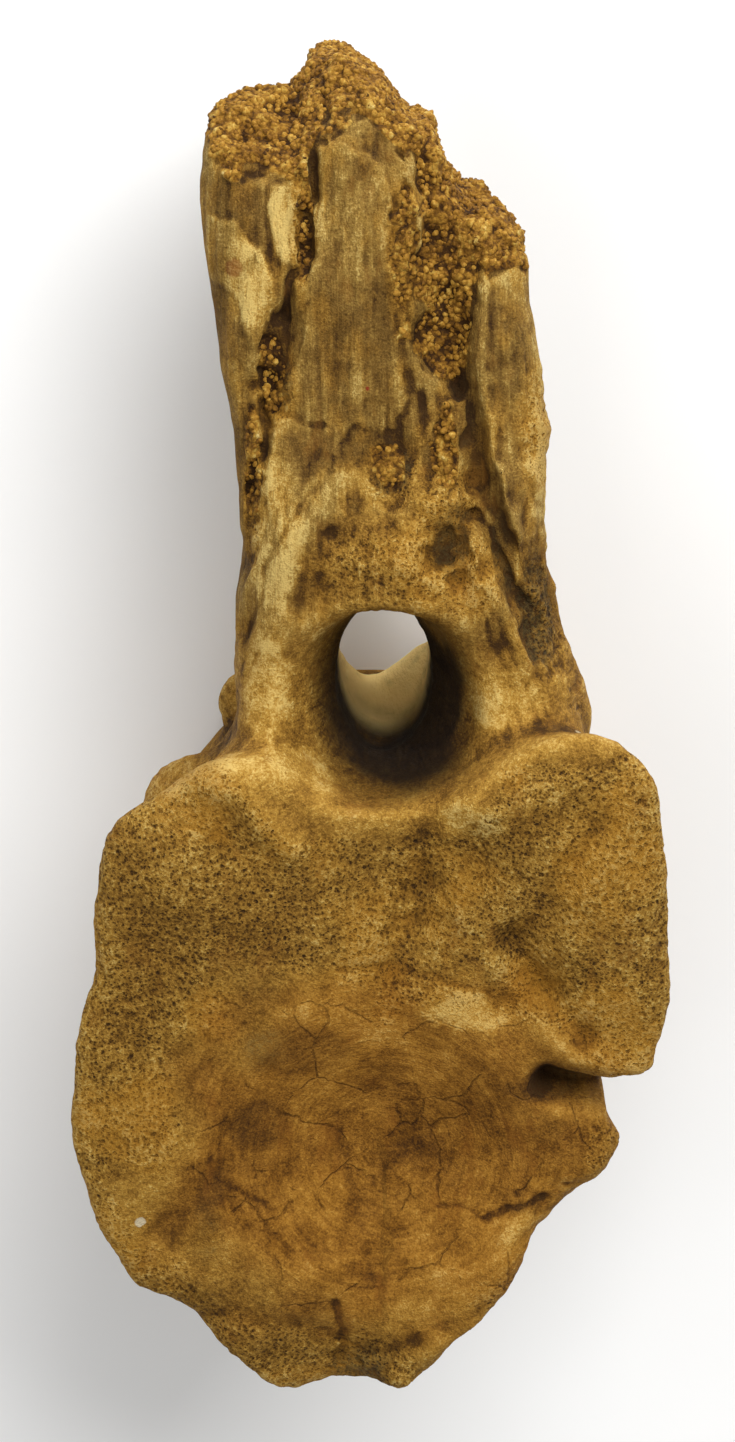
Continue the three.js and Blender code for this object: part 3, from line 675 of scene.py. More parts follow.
def around_dish(points):
    """Way out from the middle of the dish and way round it, in millimetres, with the seam at the bottom."""
    x, y = points[:, 0] - FRONT_DISH[0], points[:, 1] - FRONT_DISH[1]
    return np.stack([np.hypot(x, y), 30 * np.arctan2(x, y), points[:, 2] / 4], 1)


def furrows(points):
    """Height of the furrows that run down both arms of the arch, spreading towards the body."""
    x, y, z = points.T
    slanted = np.stack([0.92 * np.abs(x) + 0.39 * y, 0.92 * y - 0.39 * np.abs(x), z], 1)
    ridges = 0.55 * noise(slanted, (1.5, 12, 5), 36) + 0.3 * noise(slanted, (0.8, 7, 3), 37)
    return strongest(points, FURROWED_PLACES) * ridges


def relief(points):
    """Height of the fine relief, in millimetres."""
    spongy = np.maximum(strongest(points, SPONGY_PLACES), 0.8 * on_rim(points))
    sand = sandy(points)
    pits = smooth_step(0.42, 0.22, cell_distance(points, 1.5, 30))
    bone = (
        0.18 * noise(points, 6.5, 21)
        + 0.1 * noise(points, 2.8, 22)
        + 0.16 * on_spine(points) * noise(points, (0.95, 11, 1.3), 24)
        + 0.14 * on_flank(points) * noise(points, (1.1, 1.1, 8), 25)
        + spongy * (0.2 * noise(points, 3.3, 28) + 0.22 * noise(points, 1.2, 29))
        - 0.3 * np.maximum(spongy - 0.15, 0) * pits
        + furrows(points)
        + strongest(points, CRUMBLY_PLACES) * (0.55 * noise(points, 2.7, 34) + 0.3 * noise(points, 1.3, 35))
    )
    crumbs = 1.0 * noise(points, 4.2, 31) + 0.6 * noise(points, 1.9, 32) + 0.3 * noise(points, 1.1, 33)
    return lerp(bone - 0.2, crumbs - 0.4, sand)


# Meshes in the scene

def to_part(points):
    """From millimetres in the bone's frame to metres in the part's."""
    return (np.asarray(points, float) - BONE_ORIGIN) * MM


def mesh_of(name, points, faces):
    mesh = bpy.data.meshes.new(name)
    mesh.vertices.add(len(points))
    mesh.vertices.foreach_set("co", points.astype(np.float32).ravel())
    mesh.loops.add(faces.size)
    mesh.loops.foreach_set("vertex_index", faces.astype(np.int32).ravel())
    mesh.polygons.add(len(faces))
    mesh.polygons.foreach_set("loop_start", np.arange(0, faces.size, 3, dtype=np.int32))
    mesh.update(calc_edges=True)
    return mesh


def arrays_of(mesh):
    points = np.empty(len(mesh.vertices) * 3, np.float32)
    mesh.vertices.foreach_get("co", points)
    mesh.calc_loop_triangles()
    faces = np.empty(len(mesh.loop_triangles) * 3, np.int32)
    mesh.loop_triangles.foreach_get("vertices", faces)
    return points.reshape(-1, 3).astype(float), faces.reshape(-1, 3).astype(np.int64)


def object_of(name, mesh):
    made = bpy.data.objects.new(name, mesh)
    bpy.context.scene.collection.objects.link(made)
    return made


def evaluated_mesh(made):
    """A plain mesh with the object's modifiers applied, and the object gone."""
    graph = bpy.context.evaluated_depsgraph_get()
    mesh = bpy.data.meshes.new_from_object(made.evaluated_get(graph))
    bpy.data.objects.remove(made)
    return mesh


def set_attribute(mesh, name, values):
    mesh.attributes.new(name, "FLOAT", "POINT").data.foreach_set("value", values.astype(np.float32))


def set_vectors(mesh, name, vectors):
    made = mesh.attributes.new(name, "FLOAT_VECTOR", "POINT")
    made.data.foreach_set("vector", vectors.astype(np.float32).ravel())


def thinned(points, faces, marks):
    """The mesh with fewer triangles where it is flat, and the values that its points carry."""
    mesh = mesh_of("bone_skin", points, faces)
    for name, values in marks.items():
        set_attribute(mesh, name, values)
    made = object_of("bone_skin", mesh)
    thin = made.modifiers.new("thin", "DECIMATE")
    thin.ratio = KEPT_SHARE
    thin_mesh = evaluated_mesh(made)
    points, faces = arrays_of(thin_mesh)
    kept = {}
    for name in marks:
        kept[name] = np.empty(len(points), np.float32)
        thin_mesh.attributes[name].data.foreach_get("value", kept[name])
    return points, faces, kept


def bone_skin():
    """The whole bone's surface, with what its finish reads at each point."""
    points, faces = main_island(*field_mesh())
    points += relief(points)[:, None] * point_normals(points, faces)
    normals = point_normals(points, faces)
    marks = {
        "crease": hollowness(points, faces, normals, 4),
        "hollow": hollowness(points, faces, normals, 45),
    }
    points, faces, marks = thinned(points, faces, marks)
    normals = point_normals(points, faces)
    box_low = np.array(cad_low) / MM + BONE_ORIGIN
    box_high = np.array(cad_high) / MM + BONE_ORIGIN
    points = np.clip(points, box_low + (0.02, 0.02, 0), box_high - 0.02)
    skin = mesh_of("bone_skin", to_part(points), faces)
    canal = canal_shade(points)
    for name, values in marks.items():
        set_attribute(skin, name, values)
    set_attribute(skin, "sand", sandy(points))
    set_attribute(skin, "spongy", np.maximum(strongest(points, SPONGY_PLACES), on_rim(points)))
    set_attribute(skin, "patina", in_dish(points))
    set_attribute(skin, "dark", strongest(points, DARK_PLACES))
    set_attribute(skin, "pale", strongest(points, PALE_PLACES))
    # painted shade inside the canal, with some of its dark stain
    set_attribute(skin, "canal", canal)
    set_attribute(skin, "flake", on_flakes(points))
    # painted light on the far floor of the canal
    set_attribute(skin, "far_canal_light", canal * smooth_step(44, 32, points[:, 2]))
    set_attribute(skin, "up_fibres", on_spine(points))
    set_attribute(skin, "long_fibres", on_flank(points))
    set_vectors(skin, "ring", around_dish(points))
    set_vectors(skin, "skin_normal", normals)
    return skin


# Parting the skin into closed pieces

def half_of(solid, normal, through, past):
    """A copy of what lies past a plane or before it, with the cut closed. Millimetres, bone's frame."""
    half = solid.copy()
    outward = Vector(normal).normalized() * (-1 if past else 1)
    cut = bmesh.ops.bisect_plane(
        half,
        geom=half.verts[:] + half.edges[:] + half.faces[:],
        dist=1e-7,
        plane_co=to_part(through),
        plane_no=Vector(normal).normalized(),
        clear_inner=past,
        clear_outer=not past,
    )
    rim = [part for part in cut["geom_cut"] if isinstance(part, bmesh.types.BMEdge)]
    if rim:
        lids = bmesh.ops.holes_fill(half, edges=rim, sides=0)["faces"]
        lids = bmesh.ops.triangulate(half, faces=lids, ngon_method="EAR_CLIP")["faces"]
        is_lid = half.faces.layers.int["lid"]
        for lid in lids:
            lid[is_lid] = 1
        bmesh.ops.recalc_face_normals(half, faces=[lid for lid in lids if lid.normal.dot(outward) < 0])
    return half


def parted(solid, normal, through):
    return half_of(solid, normal, through, True), half_of(solid, normal, through, False)


def parted_along_line(solid, line):
    """The same along a line drawn on the front, cut straight through from front to back."""
    (ax, ay), (bx, by) = line
    return parted(solid, (-(by - ay), bx - ax, 0), (ax, ay, 0))


def make_piece(name, solid, node, material):
    """One closed piece whose shading runs on over the cuts, as the skin's does."""
    mesh = bpy.data.meshes.new(name)
    bmesh.ops.triangulate(solid, faces=[face for face in solid.faces if len(face.verts) > 3])
    solid.to_mesh(mesh)
    solid.free()
    mesh.shade_smooth()
    skin_normals = np.empty(len(mesh.vertices) * 3, np.float32)
    mesh.attributes["skin_normal"].data.foreach_get("vector", skin_normals)
    corners = np.empty(len(mesh.loops), np.int32)
    mesh.loops.foreach_get("vertex_index", corners)
    lids = np.empty(len(mesh.polygons), np.int32)
    mesh.attributes["lid"].data.foreach_get("value", lids)
    face_normals = np.empty(len(mesh.polygons) * 3, np.float32)
    mesh.polygons.foreach_get("normal", face_normals)
    on_lid = np.repeat(lids, 3)[:, None] > 0
    flat = np.repeat(face_normals.reshape(-1, 3), 3, 0)
    normals = np.where(on_lid, flat, skin_normals.reshape(-1, 3)[corners])
    normals /= np.maximum(np.linalg.norm(normals, axis=1, keepdims=True), 1e-9)
    mesh.normals_split_custom_set(normals.tolist())
    mesh.attributes.remove(mesh.attributes["skin_normal"])
    mesh.attributes.remove(mesh.attributes["lid"])
    mesh.materials.append(material)
    piece = object_of(name, mesh)
    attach(piece, "root")
    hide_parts(node)
    return piece


# Finishes

def colour(red, green, blue):
    """A colour given as it is seen, from 0 to 255, as the shader's own numbers."""
    shares = [value / 255 for value in (red, green, blue)]
    return tuple(s / 12.92 if s <= 0.04045 else ((s + 0.055) / 1.055) ** 2.4 for s in shares) + (1,)


# painted shade deep in the canal
CANAL_SHADE = colour(22, 12, 5)
UMBER = colour(60, 38, 10)
BROWN = colour(100, 68, 18)
OCHRE = colour(136, 98, 34)
HONEY = colour(166, 126, 50)
PALE_BONE = colour(204, 172, 98)
# painted light on the far floor of the canal
FAR_CANAL_LIGHT = colour(255, 224, 146)
PATINA = colour(244, 228, 206)                 # multiplies the others, so it is close to white
RUST = colour(128, 84, 26)
AMBER = colour(168, 116, 32)
GREY_GREEN = colour(82, 74, 44)
BONE_TONES = [(0.0, UMBER), (0.28, BROWN), (0.5, OCHRE), (0.72, HONEY), (1.0, PALE_BONE)]
IVORY_TONES = [
    (0.0, colour(52, 32, 9)), (0.24, colour(86, 61, 21)), (0.48, colour(110, 82, 34)),
    (0.72, colour(143, 113, 52)), (1.0, colour(196, 168, 98)),
]
SAND_TONES = [
    (0.0, colour(54, 32, 7)), (0.3, colour(112, 75, 20)), (0.55, colour(154, 112, 38)),
    (0.8, colour(184, 148, 68)), (1.0, colour(210, 182, 112)),
]
SPOTS = [                                      # middle, radius, share, colour
    ((-2.6, 116.4, 66), 0.5, 1.0, colour(126, 48, 24)),                         # red specks on the spine
    ((-25.4, 136.2, 63), 2.2, 0.5, colour(120, 60, 30)),
    ((-41.6, -25.2, 82), 1.1, 0.7, colour(206, 196, 168)),                      # pale grain by the dish
    ((33.6, 58, 72), 1.6, 0.5, colour(206, 192, 158)),
    ((-47.6, 17, 76), 1.8, 0.6, colour(58, 76, 60)),                            # green stain, left edge
]


class Finish:
    """A material being built. Each method adds a node and gives back its output."""

    def __init__(self, name):
        self.material = bpy.data.materials.new(name)
        self.material.use_nodes = True
        self.tree = self.material.node_tree
        self.shader = self.tree.nodes["Principled BSDF"]

    def add(self, kind, **settings):
        node = self.tree.nodes.new(kind)
        for key, value in settings.items():
            setattr(node, key, value)
        return node

    def connect(self, source, socket):
        """Joins an output to a socket, or sets the socket where the source is a plain value."""
        if isinstance(source, bpy.types.NodeSocket):
            self.tree.links.new(source, socket)
        else:
            socket.default_value = source

    def millimetres(self):
        place = self.add("ShaderNodeTexCoord").outputs["Object"]
        return self.stretched(place, (1000, 1000, 1000))

    def stretched(self, place, factors):
        node = self.add("ShaderNodeVectorMath", operation="MULTIPLY")
        self.connect(place, node.inputs[0])
        node.inputs[1].default_value = factors
        return node.outputs[0]

    def attribute(self, name, output="Fac"):
        return self.add("ShaderNodeAttribute", attribute_name=name).outputs[output]

    def noise(self, place, size, detail=3.0, rough=0.55):
        """Noise about 0, mostly from -0.3 to 0.3."""
        node = self.add("ShaderNodeTexNoise")
        self.connect(place, node.inputs["Vector"])
        node.inputs["Scale"].default_value = 1 / size
        node.inputs["Detail"].default_value = detail
        node.inputs["Roughness"].default_value = rough
        return self.sum(node.outputs["Fac"], -0.5)

    def cells(self, place, size, output="Distance", feature="F1"):
        node = self.add("ShaderNodeTexVoronoi", feature=feature)
        self.connect(place, node.inputs["Vector"])
        node.inputs["Scale"].default_value = 1 / size
        return node.outputs[output]

    def bent(self, place, size, amount):
        """The place pushed about by a noise, so that straight borders wander."""
        push = self.add("ShaderNodeTexNoise")
        self.connect(place, push.inputs["Vector"])
        push.inputs["Scale"].default_value = 1 / size
        shift = self.add("ShaderNodeVectorMath", operation="MULTIPLY_ADD")
        self.connect(push.outputs["Color"], shift.inputs[0])
        shift.inputs[1].default_value = (amount, amount, amount)
        self.connect(place, shift.inputs[2])
        return shift.outputs[0]

    def step(self, value, low, high, to_low=0.0, to_high=1.0):
        node = self.add("ShaderNodeMapRange", interpolation_type="SMOOTHSTEP")
        self.connect(value, node.inputs["Value"])
        self.connect(low, node.inputs["From Min"])
        node.inputs["From Max"].default_value = high
        node.inputs["To Min"].default_value = to_low
        node.inputs["To Max"].default_value = to_high
        return node.outputs["Result"]

    def sum(self, a, b):
        return self.calculate("ADD", a, b)

    def product(self, a, b):
        return self.calculate("MULTIPLY", a, b)

    def calculate(self, operation, a, b):
        node = self.add("ShaderNodeMath", operation=operation)
        self.connect(a, node.inputs[0])
        self.connect(b, node.inputs[1])
        return node.outputs[0]

    def total(self, start, *terms):
        """The start plus each source times its weight."""
        result = start
        for source, weight in terms:
            result = self.sum(result, self.product(source, weight))
        return result

    def ragged(self, mask, edge, raggedness=0.5):
        """A soft mask with its border broken up by a noise."""
        return self.step(self.total(mask, (edge, raggedness)), 0.35, 0.65)

    def tones(self, value, stops):
        """The colour that a row of places and colours has at a value."""
        node = self.add("ShaderNodeValToRGB")
        marks = node.color_ramp.elements
        for mark, (place, tint) in zip((marks[0], marks[1]), (stops[0], stops[-1])):
            mark.position = place
            mark.color = tint
        for place, tint in stops[1:-1]:
            marks.new(place).color = tint
        self.connect(value, node.inputs["Fac"])
        return node.outputs["Color"]

    def mix(self, share, a, b, blend="MIX"):
        node = self.add("ShaderNodeMix", data_type="RGBA", blend_type=blend)
        self.connect(share, node.inputs[0])
        self.connect(a, node.inputs[6])
        self.connect(b, node.inputs[7])
        return node.outputs[2]

    def spot(self, place, at, radius):
        """1 within a small round spot, given in millimetres in the bone's frame."""
        node = self.add("ShaderNodeVectorMath", operation="DISTANCE")
        self.connect(place, node.inputs[0])
        node.inputs[1].default_value = tuple(np.array(at) - BONE_ORIGIN)
        return self.step(node.outputs["Value"], radius, radius * 0.7)

    def bump(self, height, depth_mm, below=None):
        node = self.add("ShaderNodeBump")
        node.inputs["Strength"].default_value = 1.0
        node.inputs["Distance"].default_value = depth_mm * MM
        self.connect(height, node.inputs["Height"])
        if below is not None:
            self.connect(below, node.inputs["Normal"])
        return node.outputs["Normal"]

    def finish(self, base_colour, roughness, normal):
        self.connect(base_colour, self.shader.inputs["Base Color"])
        self.connect(roughness, self.shader.inputs["Roughness"])
        self.connect(normal, self.shader.inputs["Normal"])
        self.shader.inputs["IOR"].default_value = 1.5
        self.shader.inputs["Specular IOR Level"].default_value = 0.15
        return self.material


def fossil_material(name):
    """Brown fossil bone with pores, fibres, cracks and worn edges, sand where it is cemented on, and
    painted shade and light.
    """
    f = Finish(name)
    mm = f.millimetres()
    crease, hollow = f.attribute("crease"), f.attribute("hollow")
    sand, spongy, patina = f.attribute("sand"), f.attribute("spongy"), f.attribute("patina")
    up_fibres, long_fibres = f.attribute("up_fibres"), f.attribute("long_fibres")
    clouds = f.noise(mm, 19, 3)
    mottle = f.noise(mm, 4.6, 5, 0.66)
    speckle = f.noise(mm, 0.8, 4, 0.72)
    grit = f.noise(mm, 0.32, 2, 0.6)
    up_streaks = f.noise(f.stretched(mm, (1 / 0.7, 1 / 14, 1 / 0.7)), 1, 4, 0.65)
    long_streaks = f.noise(f.stretched(mm, (1 / 0.8, 1 / 0.8, 1 / 9)), 1, 3, 0.6)
    striae = f.noise(f.stretched(f.attribute("ring", "Vector"), (1 / 0.7, 1 / 9, 1 / 3)), 1, 3, 0.6)
    smooth = f.calculate("MAXIMUM", patina, f.product(up_fibres, f.total(1, (spongy, -1))))

    bent = f.bent(mm, 0.9, 0.6)
    pore_cells = f.cells(bent, 0.62)
    wide_cells = f.cells(bent, 1.5)
    pore_share = f.step(f.total(spongy, (mottle, 0.9), (clouds, 1.2)), 0.2, 0.9)
    pores = f.product(f.step(pore_cells, 0.36, 0.16), pore_share)
    wide_pores = f.product(f.step(wide_cells, 0.26, 0.14), pore_share)
    pore_rim_highlights = f.product(f.step(pore_cells, 0.4, 0.75), pore_share)

    crack_edge = f.cells(f.bent(f.bent(mm, 9, 6), 1.6, 1.2), 13, feature="DISTANCE_TO_EDGE")
    crack_share = f.product(f.step(f.noise(mm, 8, 3), -0.06, 0.04), patina)
    cracks = f.product(f.step(crack_edge, f.total(0.022, (speckle, 0.04)), 0.002), crack_share)

    tone = f.total(
        0.52,
        (clouds, 0.7),
        (f.product(mottle, f.total(1, (spongy, -0.5), (up_fibres, -0.3))), 0.9),
        (f.product(speckle, f.total(1, (smooth, -0.35))), 1.0),
        (grit, 0.75),
        (f.product(up_streaks, up_fibres), 0.65),
        (f.product(striae, patina), 0.55),
        (f.attribute("flake"), 0.05),
        (up_fibres, -0.03),
        (f.product(long_streaks, long_fibres), 0.8),
        # painted highlights on the pore rims and painted shade in the pores
        (pore_rim_highlights, 0.13),
        (pores, -0.3),
        (wide_pores, -0.32),
        (cracks, -0.15),
        # worn places and pale outer bone, and painted light on the spine's right flank and the canal's left
        # flare
        (f.ragged(f.attribute("pale"), mottle), 0.28),
        # stains, and painted shade in hollows, cracks and the dish's upper left
        (f.ragged(f.attribute("dark"), mottle), -0.19),
        # painted shade in hollows and creases, and painted highlights on rounded edges and ridges
        (f.step(hollow, 0.04, 0.5), f.total(-0.3, (spongy, 0.18))),
        (f.step(hollow, -0.04, -0.4), 0.08),
        (f.step(crease, 0.01, 0.11), f.total(-0.27, (spongy, 0.15))),
        (f.step(crease, -0.01, -0.1), 0.1),
    )
    bone = f.tones(tone, BONE_TONES)
    stains = f.noise(f.stretched(mm, (1 / 5, 1 / 12, 1 / 5)), 1, 4, 0.6)
    ivory = f.tones(f.total(tone, (mottle, 0.3)), IVORY_TONES)
    ivory_share = f.product(f.step(stains, -0.14, 0.04, 0.25, 0.9), f.step(spongy, 0.55, 0.2))
    bone = f.mix(f.product(up_fibres, ivory_share), bone, ivory)
    bone = f.mix(f.step(stains, 0.06, 0.2, 0, 0.4), bone, RUST)
    bone = f.mix(f.product(spongy, f.step(clouds, -0.04, 0.12, 0, 0.5)), bone, AMBER)
    # greenish-grey stains, and painted shade where the dark places lie in hollows and cracks
    stain_and_shade = f.product(f.ragged(f.attribute("dark"), mottle, 0.8), f.step(speckle, -0.12, 0.1, 0, 0.5))
    bone = f.mix(f.product(stain_and_shade, f.total(1, (smooth, -0.85))), bone, GREY_GREEN)
    bone = f.mix(patina, bone, PATINA, "MULTIPLY")
    # painted shade deep in the canal, with some of its dark stain
    shadowed = f.step(f.total(f.attribute("canal"), (mottle, 0.4)), 0, 0.75, 0, 0.96)
    bone = f.mix(shadowed, bone, CANAL_SHADE)
    # painted light on the far floor of the canal
    bone = f.mix(f.product(f.attribute("far_canal_light"), f.step(mottle, -0.3, 0, 0.7, 1)), bone, FAR_CANAL_LIGHT)

    crumb_cells = f.cells(bent, 1.25)
    crumb_tone = f.cells(bent, 1.25, "Color")
    sand_tone = f.total(
        0.3,
        (crumb_tone, 0.36),
        # painted shade in the gaps between the crumbs
        (f.step(crumb_cells, 0.35, 0.75), -0.3),
        (speckle, 0.9),
        (mottle, 0.7),
        # painted shade in creases and hollows
        (crease, -1.1),
        (f.step(hollow, 0.05, 0.6), -0.2),
    )
    sandstone = f.tones(sand_tone, SAND_TONES)
    sand_share = f.ragged(sand, speckle, 1.2)
    surface = f.mix(sand_share, bone, sandstone)
    for place, radius, share, tint in SPOTS:
        surface = f.mix(f.product(f.spot(bent, place, radius), share), surface, tint)

    fibres = f.total(
        0,
        (f.product(up_streaks, up_fibres), 0.6),
        (f.product(long_streaks, long_fibres), 0.6),
        (f.product(striae, patina), 0.3),
    )
    height = f.total(
        0,
        (fibres, 1.0),
        (pores, -0.35),
        (wide_pores, -0.5),
        (cracks, -0.35),
        (f.product(crumb_cells, sand_share), -0.7),
        (f.product(speckle, f.total(0.35, (spongy, 0.75))), 1.0),
        (grit, 0.3),
    )
    roughness = f.step(mottle, -0.2, 0.2, 0.92, 0.72)
    return f.finish(surface, roughness, f.bump(height, 1.0))


def grain_material():
    """Cemented sand grains, golden, straw and brown."""
    f = Finish("sand_grain_finish")
    mm = f.millimetres()
    speckle = f.noise(mm, 0.7, 3, 0.7)
    patches = f.noise(mm, 5, 3, 0.6)
    tone = f.total(0.17, (f.attribute("grain_tone"), 0.34), (speckle, 1.1), (patches, 1.2))
    return f.finish(f.tones(tone, SAND_TONES), f.step(speckle, -0.2, 0.2, 0.85, 0.6), f.bump(speckle, 0.3))


# Sand grains, by Geometry Nodes

def grain_tree(material):
    """Crumbs of sand scattered on a surface and half sunk into it."""
    tree = bpy.data.node_groups.new("sand_grains", "GeometryNodeTree")
    tree.interface.new_socket("Surface", in_out="INPUT", socket_type="NodeSocketGeometry")
    lengths = {"Grain Radius": GRAIN_RADIUS, "Least Spacing": GRAIN_SPACING, "Roughness Size": GRAIN_LUMPS}
    for name, length in lengths.items():
        socket = tree.interface.new_socket(name, in_out="INPUT", socket_type="NodeSocketFloat")
        socket.default_value = length * MM
    seed = tree.interface.new_socket("Seed", in_out="INPUT", socket_type="NodeSocketInt")
    seed.default_value = 1
    tree.interface.new_socket("Grains", in_out="OUTPUT", socket_type="NodeSocketGeometry")

    def add(kind, **settings):
        node = tree.nodes.new(kind)
        for key, value in settings.items():
            setattr(node, key, value)
        return node

    link = tree.links.new
    given = add("NodeGroupInput")
    scatter = add("GeometryNodeDistributePointsOnFaces", distribute_method="POISSON")
    link(given.outputs["Surface"], scatter.inputs["Mesh"])
    link(given.outputs["Least Spacing"], scatter.inputs["Distance Min"])
    link(given.outputs["Seed"], scatter.inputs["Seed"])
    scatter.inputs["Density Max"].default_value = 1.8e6

    grain = add("GeometryNodeMeshUVSphere")
    link(given.outputs["Grain Radius"], grain.inputs["Radius"])
    grain.inputs["Segments"].default_value = 7
    grain.inputs["Rings"].default_value = 5
    size = add("FunctionNodeRandomValue", data_type="FLOAT")
    size.inputs[2].default_value = GRAIN_SMALLEST
    size.inputs[3].default_value = GRAIN_LARGEST
    turn = add("FunctionNodeRandomValue", data_type="FLOAT_VECTOR")
    turn.inputs[1].default_value = (6.28, 6.28, 6.28)
    place = add("GeometryNodeInstanceOnPoints")
    link(scatter.outputs["Points"], place.inputs["Points"])
    link(grain.outputs["Mesh"], place.inputs["Instance"])
    link(turn.outputs[0], place.inputs["Rotation"])
    link(size.outputs[1], place.inputs["Scale"])

    tone = add("FunctionNodeRandomValue", data_type="FLOAT")
    store = add("GeometryNodeStoreNamedAttribute", data_type="FLOAT", domain="INSTANCE")
    store.inputs["Name"].default_value = "grain_tone"
    link(place.outputs["Instances"], store.inputs["Geometry"])
    link(tone.outputs[1], store.inputs["Value"])
    realize = add("GeometryNodeRealizeInstances")
    link(store.outputs["Geometry"], realize.inputs["Geometry"])

    where = add("GeometryNodeInputPosition")
    per_metre = add("ShaderNodeMath", operation="DIVIDE")
    per_metre.inputs[0].default_value = 1.0
    link(given.outputs["Roughness Size"], per_metre.inputs[1])
    lumps = add("ShaderNodeTexNoise")
    link(where.outputs["Position"], lumps.inputs["Vector"])
    link(per_metre.outputs[0], lumps.inputs["Scale"])
    middle = add("ShaderNodeVectorMath", operation="SUBTRACT")
    middle.inputs[1].default_value = (0.5, 0.5, 0.5)
    link(lumps.outputs["Color"], middle.inputs[0])
    push = add("ShaderNodeVectorMath", operation="SCALE")
    link(middle.outputs[0], push.inputs[0])
    link(given.outputs["Roughness Size"], push.inputs["Scale"])
    crumble = add("GeometryNodeSetPosition")
    link(realize.outputs["Geometry"], crumble.inputs["Geometry"])
    link(push.outputs[0], crumble.inputs["Offset"])
    painted = add("GeometryNodeSetMaterial")
    painted.inputs["Material"].default_value = material
    link(crumble.outputs["Geometry"], painted.inputs["Geometry"])
    result = add("NodeGroupOutput")
    link(painted.outputs["Geometry"], result.inputs["Grains"])
    return tree


def sand_host(skin, chosen):
    """The faces of the skin on which grains are cemented."""
    points, faces = arrays_of(skin)
    sand = np.empty(len(points), np.float32)
    skin.attributes["sand"].data.foreach_get("value", sand)
    bed = faces[(sand[faces].min(1) > 0.6) & chosen(points[faces].mean(1))]
    used, numbered = np.unique(bed, return_inverse=True)
    sunk = points[used] - GRAIN_SINK * MM * point_normals(points, faces)[used]
    return object_of("sand_bed", mesh_of("sand_bed", sunk, numbered.reshape(-1, 3)))


def make_grains(name, skin, chosen, tree, seed):
    bed = sand_host(skin, chosen)
    scatter = bed.modifiers.new("grains", "NODES")
    scatter.node_group = tree
    sockets = {item.name: item.identifier for item in tree.interface.items_tree}
    scatter[sockets["Seed"]] = seed
    mesh = evaluated_mesh(bed)
    mesh.name = name
    points = np.empty(len(mesh.vertices) * 3, np.float32)
    mesh.vertices.foreach_get("co", points)
    inset = 0.02 * MM
    inside = np.clip(points.reshape(-1, 3), np.array(cad_low) + inset, np.array(cad_high) - inset)
    mesh.vertices.foreach_set("co", inside.astype(np.float32).ravel())
    mesh.shade_smooth()
    grains = object_of(name, mesh)
    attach(grains, "root")
    return grains


# Floor, light and camera

LIGHTS = [                                     # name, place, width, power
    ("window", (0.34, 0.66, 0.75), 0.7, 12),
    ("fill", (-0.55, -0.1, 0.95), 0.9, 3.5),
    ("low_light", (0.02, 0.6, 0.02), 0.12, 2.2),
]
LIGHTS_AIM = (0, 0, 0.06)
FLOOR_HALF = 2.0

CAMERA_PITCH = math.radians(14)
CAMERA_DISTANCE = 700 * MM
CAMERA_TARGET = to_part((-2.9, 62.5, 80))
VIEW_HEIGHT = 240.33 * MM                      # seen along the photo's long side at the target
SENSOR = 36


def make_camera():
    lens = bpy.data.cameras.new("camera")
    lens.sensor_width = SENSOR
    lens.lens = SENSOR * CAMERA_DISTANCE / VIEW_HEIGHT
    camera = bpy.data.objects.new("camera", lens)
    back = np.array([0, math.sin(CAMERA_PITCH), math.cos(CAMERA_PITCH)])
    camera.location = CAMERA_TARGET + CAMERA_DISTANCE * back
    camera.rotation_euler = (-CAMERA_PITCH, 0, 0)
    bpy.context.scene.collection.objects.link(camera)
    bpy.context.scene.camera = camera


def make_light(name, place, size, power):
    light = bpy.data.lights.new(name, "AREA")
    light.size = size
    light.energy = power
    lamp = bpy.data.objects.new(name, light)
    lamp.location = place
    lamp.rotation_euler = (Vector(LIGHTS_AIM) - Vector(place)).to_track_quat("-Z", "Y").to_euler()
    bpy.context.scene.collection.objects.link(lamp)


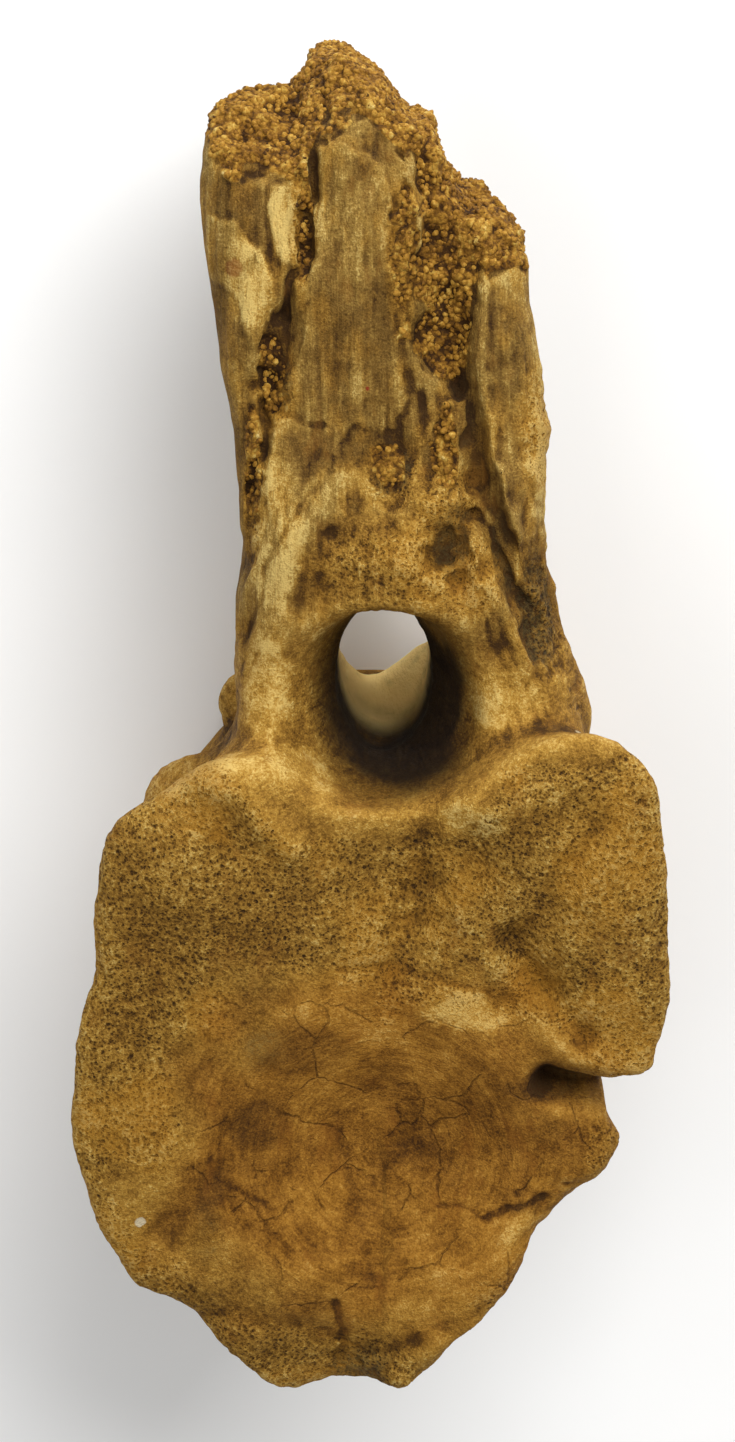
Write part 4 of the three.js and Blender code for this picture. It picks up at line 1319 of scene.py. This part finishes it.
def make_stage():
    f = Finish("pale_floor")
    mm = f.millimetres()
    shade = f.noise(mm, 60, 2)
    tint = f.mix(f.sum(shade, 0.5), colour(238, 238, 237), colour(244, 244, 243))
    f.finish(tint, f.step(shade, -0.2, 0.2, 0.85, 0.95), f.bump(f.noise(mm, 3, 2), 0.02))
    half = FLOOR_HALF
    corners = np.array([(-half, -half, 0), (half, -half, 0), (half, half, 0), (-half, half, 0)])
    floor = object_of("floor", mesh_of("floor", corners, np.array([(0, 1, 2), (0, 2, 3)])))
    floor.data.materials.append(f.material)
    for light in LIGHTS:
        make_light(*light)
    world = bpy.data.worlds.new("studio")
    world.use_nodes = True
    world.node_tree.nodes["Background"].inputs["Color"].default_value = (1, 1, 1, 1)
    world.node_tree.nodes["Background"].inputs["Strength"].default_value = 0.38
    bpy.context.scene.world = world
    bpy.context.scene.view_settings.view_transform = "Standard"


# Building

skin = bone_skin()
body_finish = fossil_material("body_bone_finish")
arch_finish = fossil_material("arch_bone_finish")
spine_finish = fossil_material("spine_bone_finish")
matrix_finish = fossil_material("rock_matrix_finish")

whole = bmesh.new()
whole.from_mesh(skin)
whole.faces.layers.int.new("lid")
above_suture, centrum = parted(whole, (0, 1, 0), (0, SUTURE_Y, 0))
above_roof, pedicles = parted(above_suture, (0, 1, 0), (0, ROOF_Y, 0))
spine_and_tip, roof = parted(above_roof, (0, 1, 0), (0, SPINE_Y, 0))
tip, spine = parted(spine_and_tip, (0, 1, TIP_CUT_FALL), (0, TIP_CUT_Y, TIP_CUT_Z))
right_of_crack, left_lamina = parted_along_line(spine, LEFT_CRACK_CUT)
right_of_fracture, spine_middle = parted_along_line(right_of_crack, FRACTURE_LEFT_CUT)
right_lamina, fracture_fill = parted_along_line(right_of_fracture, FRACTURE_RIGHT_CUT)
pedicle_right, pedicle_left = parted(pedicles, (1, 0, 0), (0, 0, 0))

make_piece("body_of_bone", centrum, "centrum", body_finish)
make_piece("left_pedicle", pedicle_left, "pedicle_left", arch_finish)
make_piece("right_pedicle", pedicle_right, "pedicle_right", arch_finish)
make_piece("roof_of_arch", roof, "neural_arch_roof", arch_finish)
make_piece("spine_plate", spine_middle, "neural_spine", spine_finish)
make_piece("left_plate", left_lamina, "spine_lamina_left", spine_finish)
make_piece("right_plate", right_lamina, "spine_lamina_right", spine_finish)
make_piece("fracture_sandstone", fracture_fill, "matrix_fracture", matrix_finish)
make_piece("tip_sandstone", tip, "matrix_tip", matrix_finish)

grains = grain_tree(grain_material())
fracture_top = to_part((0, FRACTURE_TOP_Y, 0))[1]
make_grains("tip_grains", skin, lambda at: at[:, 1] > fracture_top, grains, 5)
make_grains("fracture_grains", skin, lambda at: at[:, 1] <= fracture_top, grains, 6)
bpy.data.meshes.remove(skin)

make_stage()
make_camera()
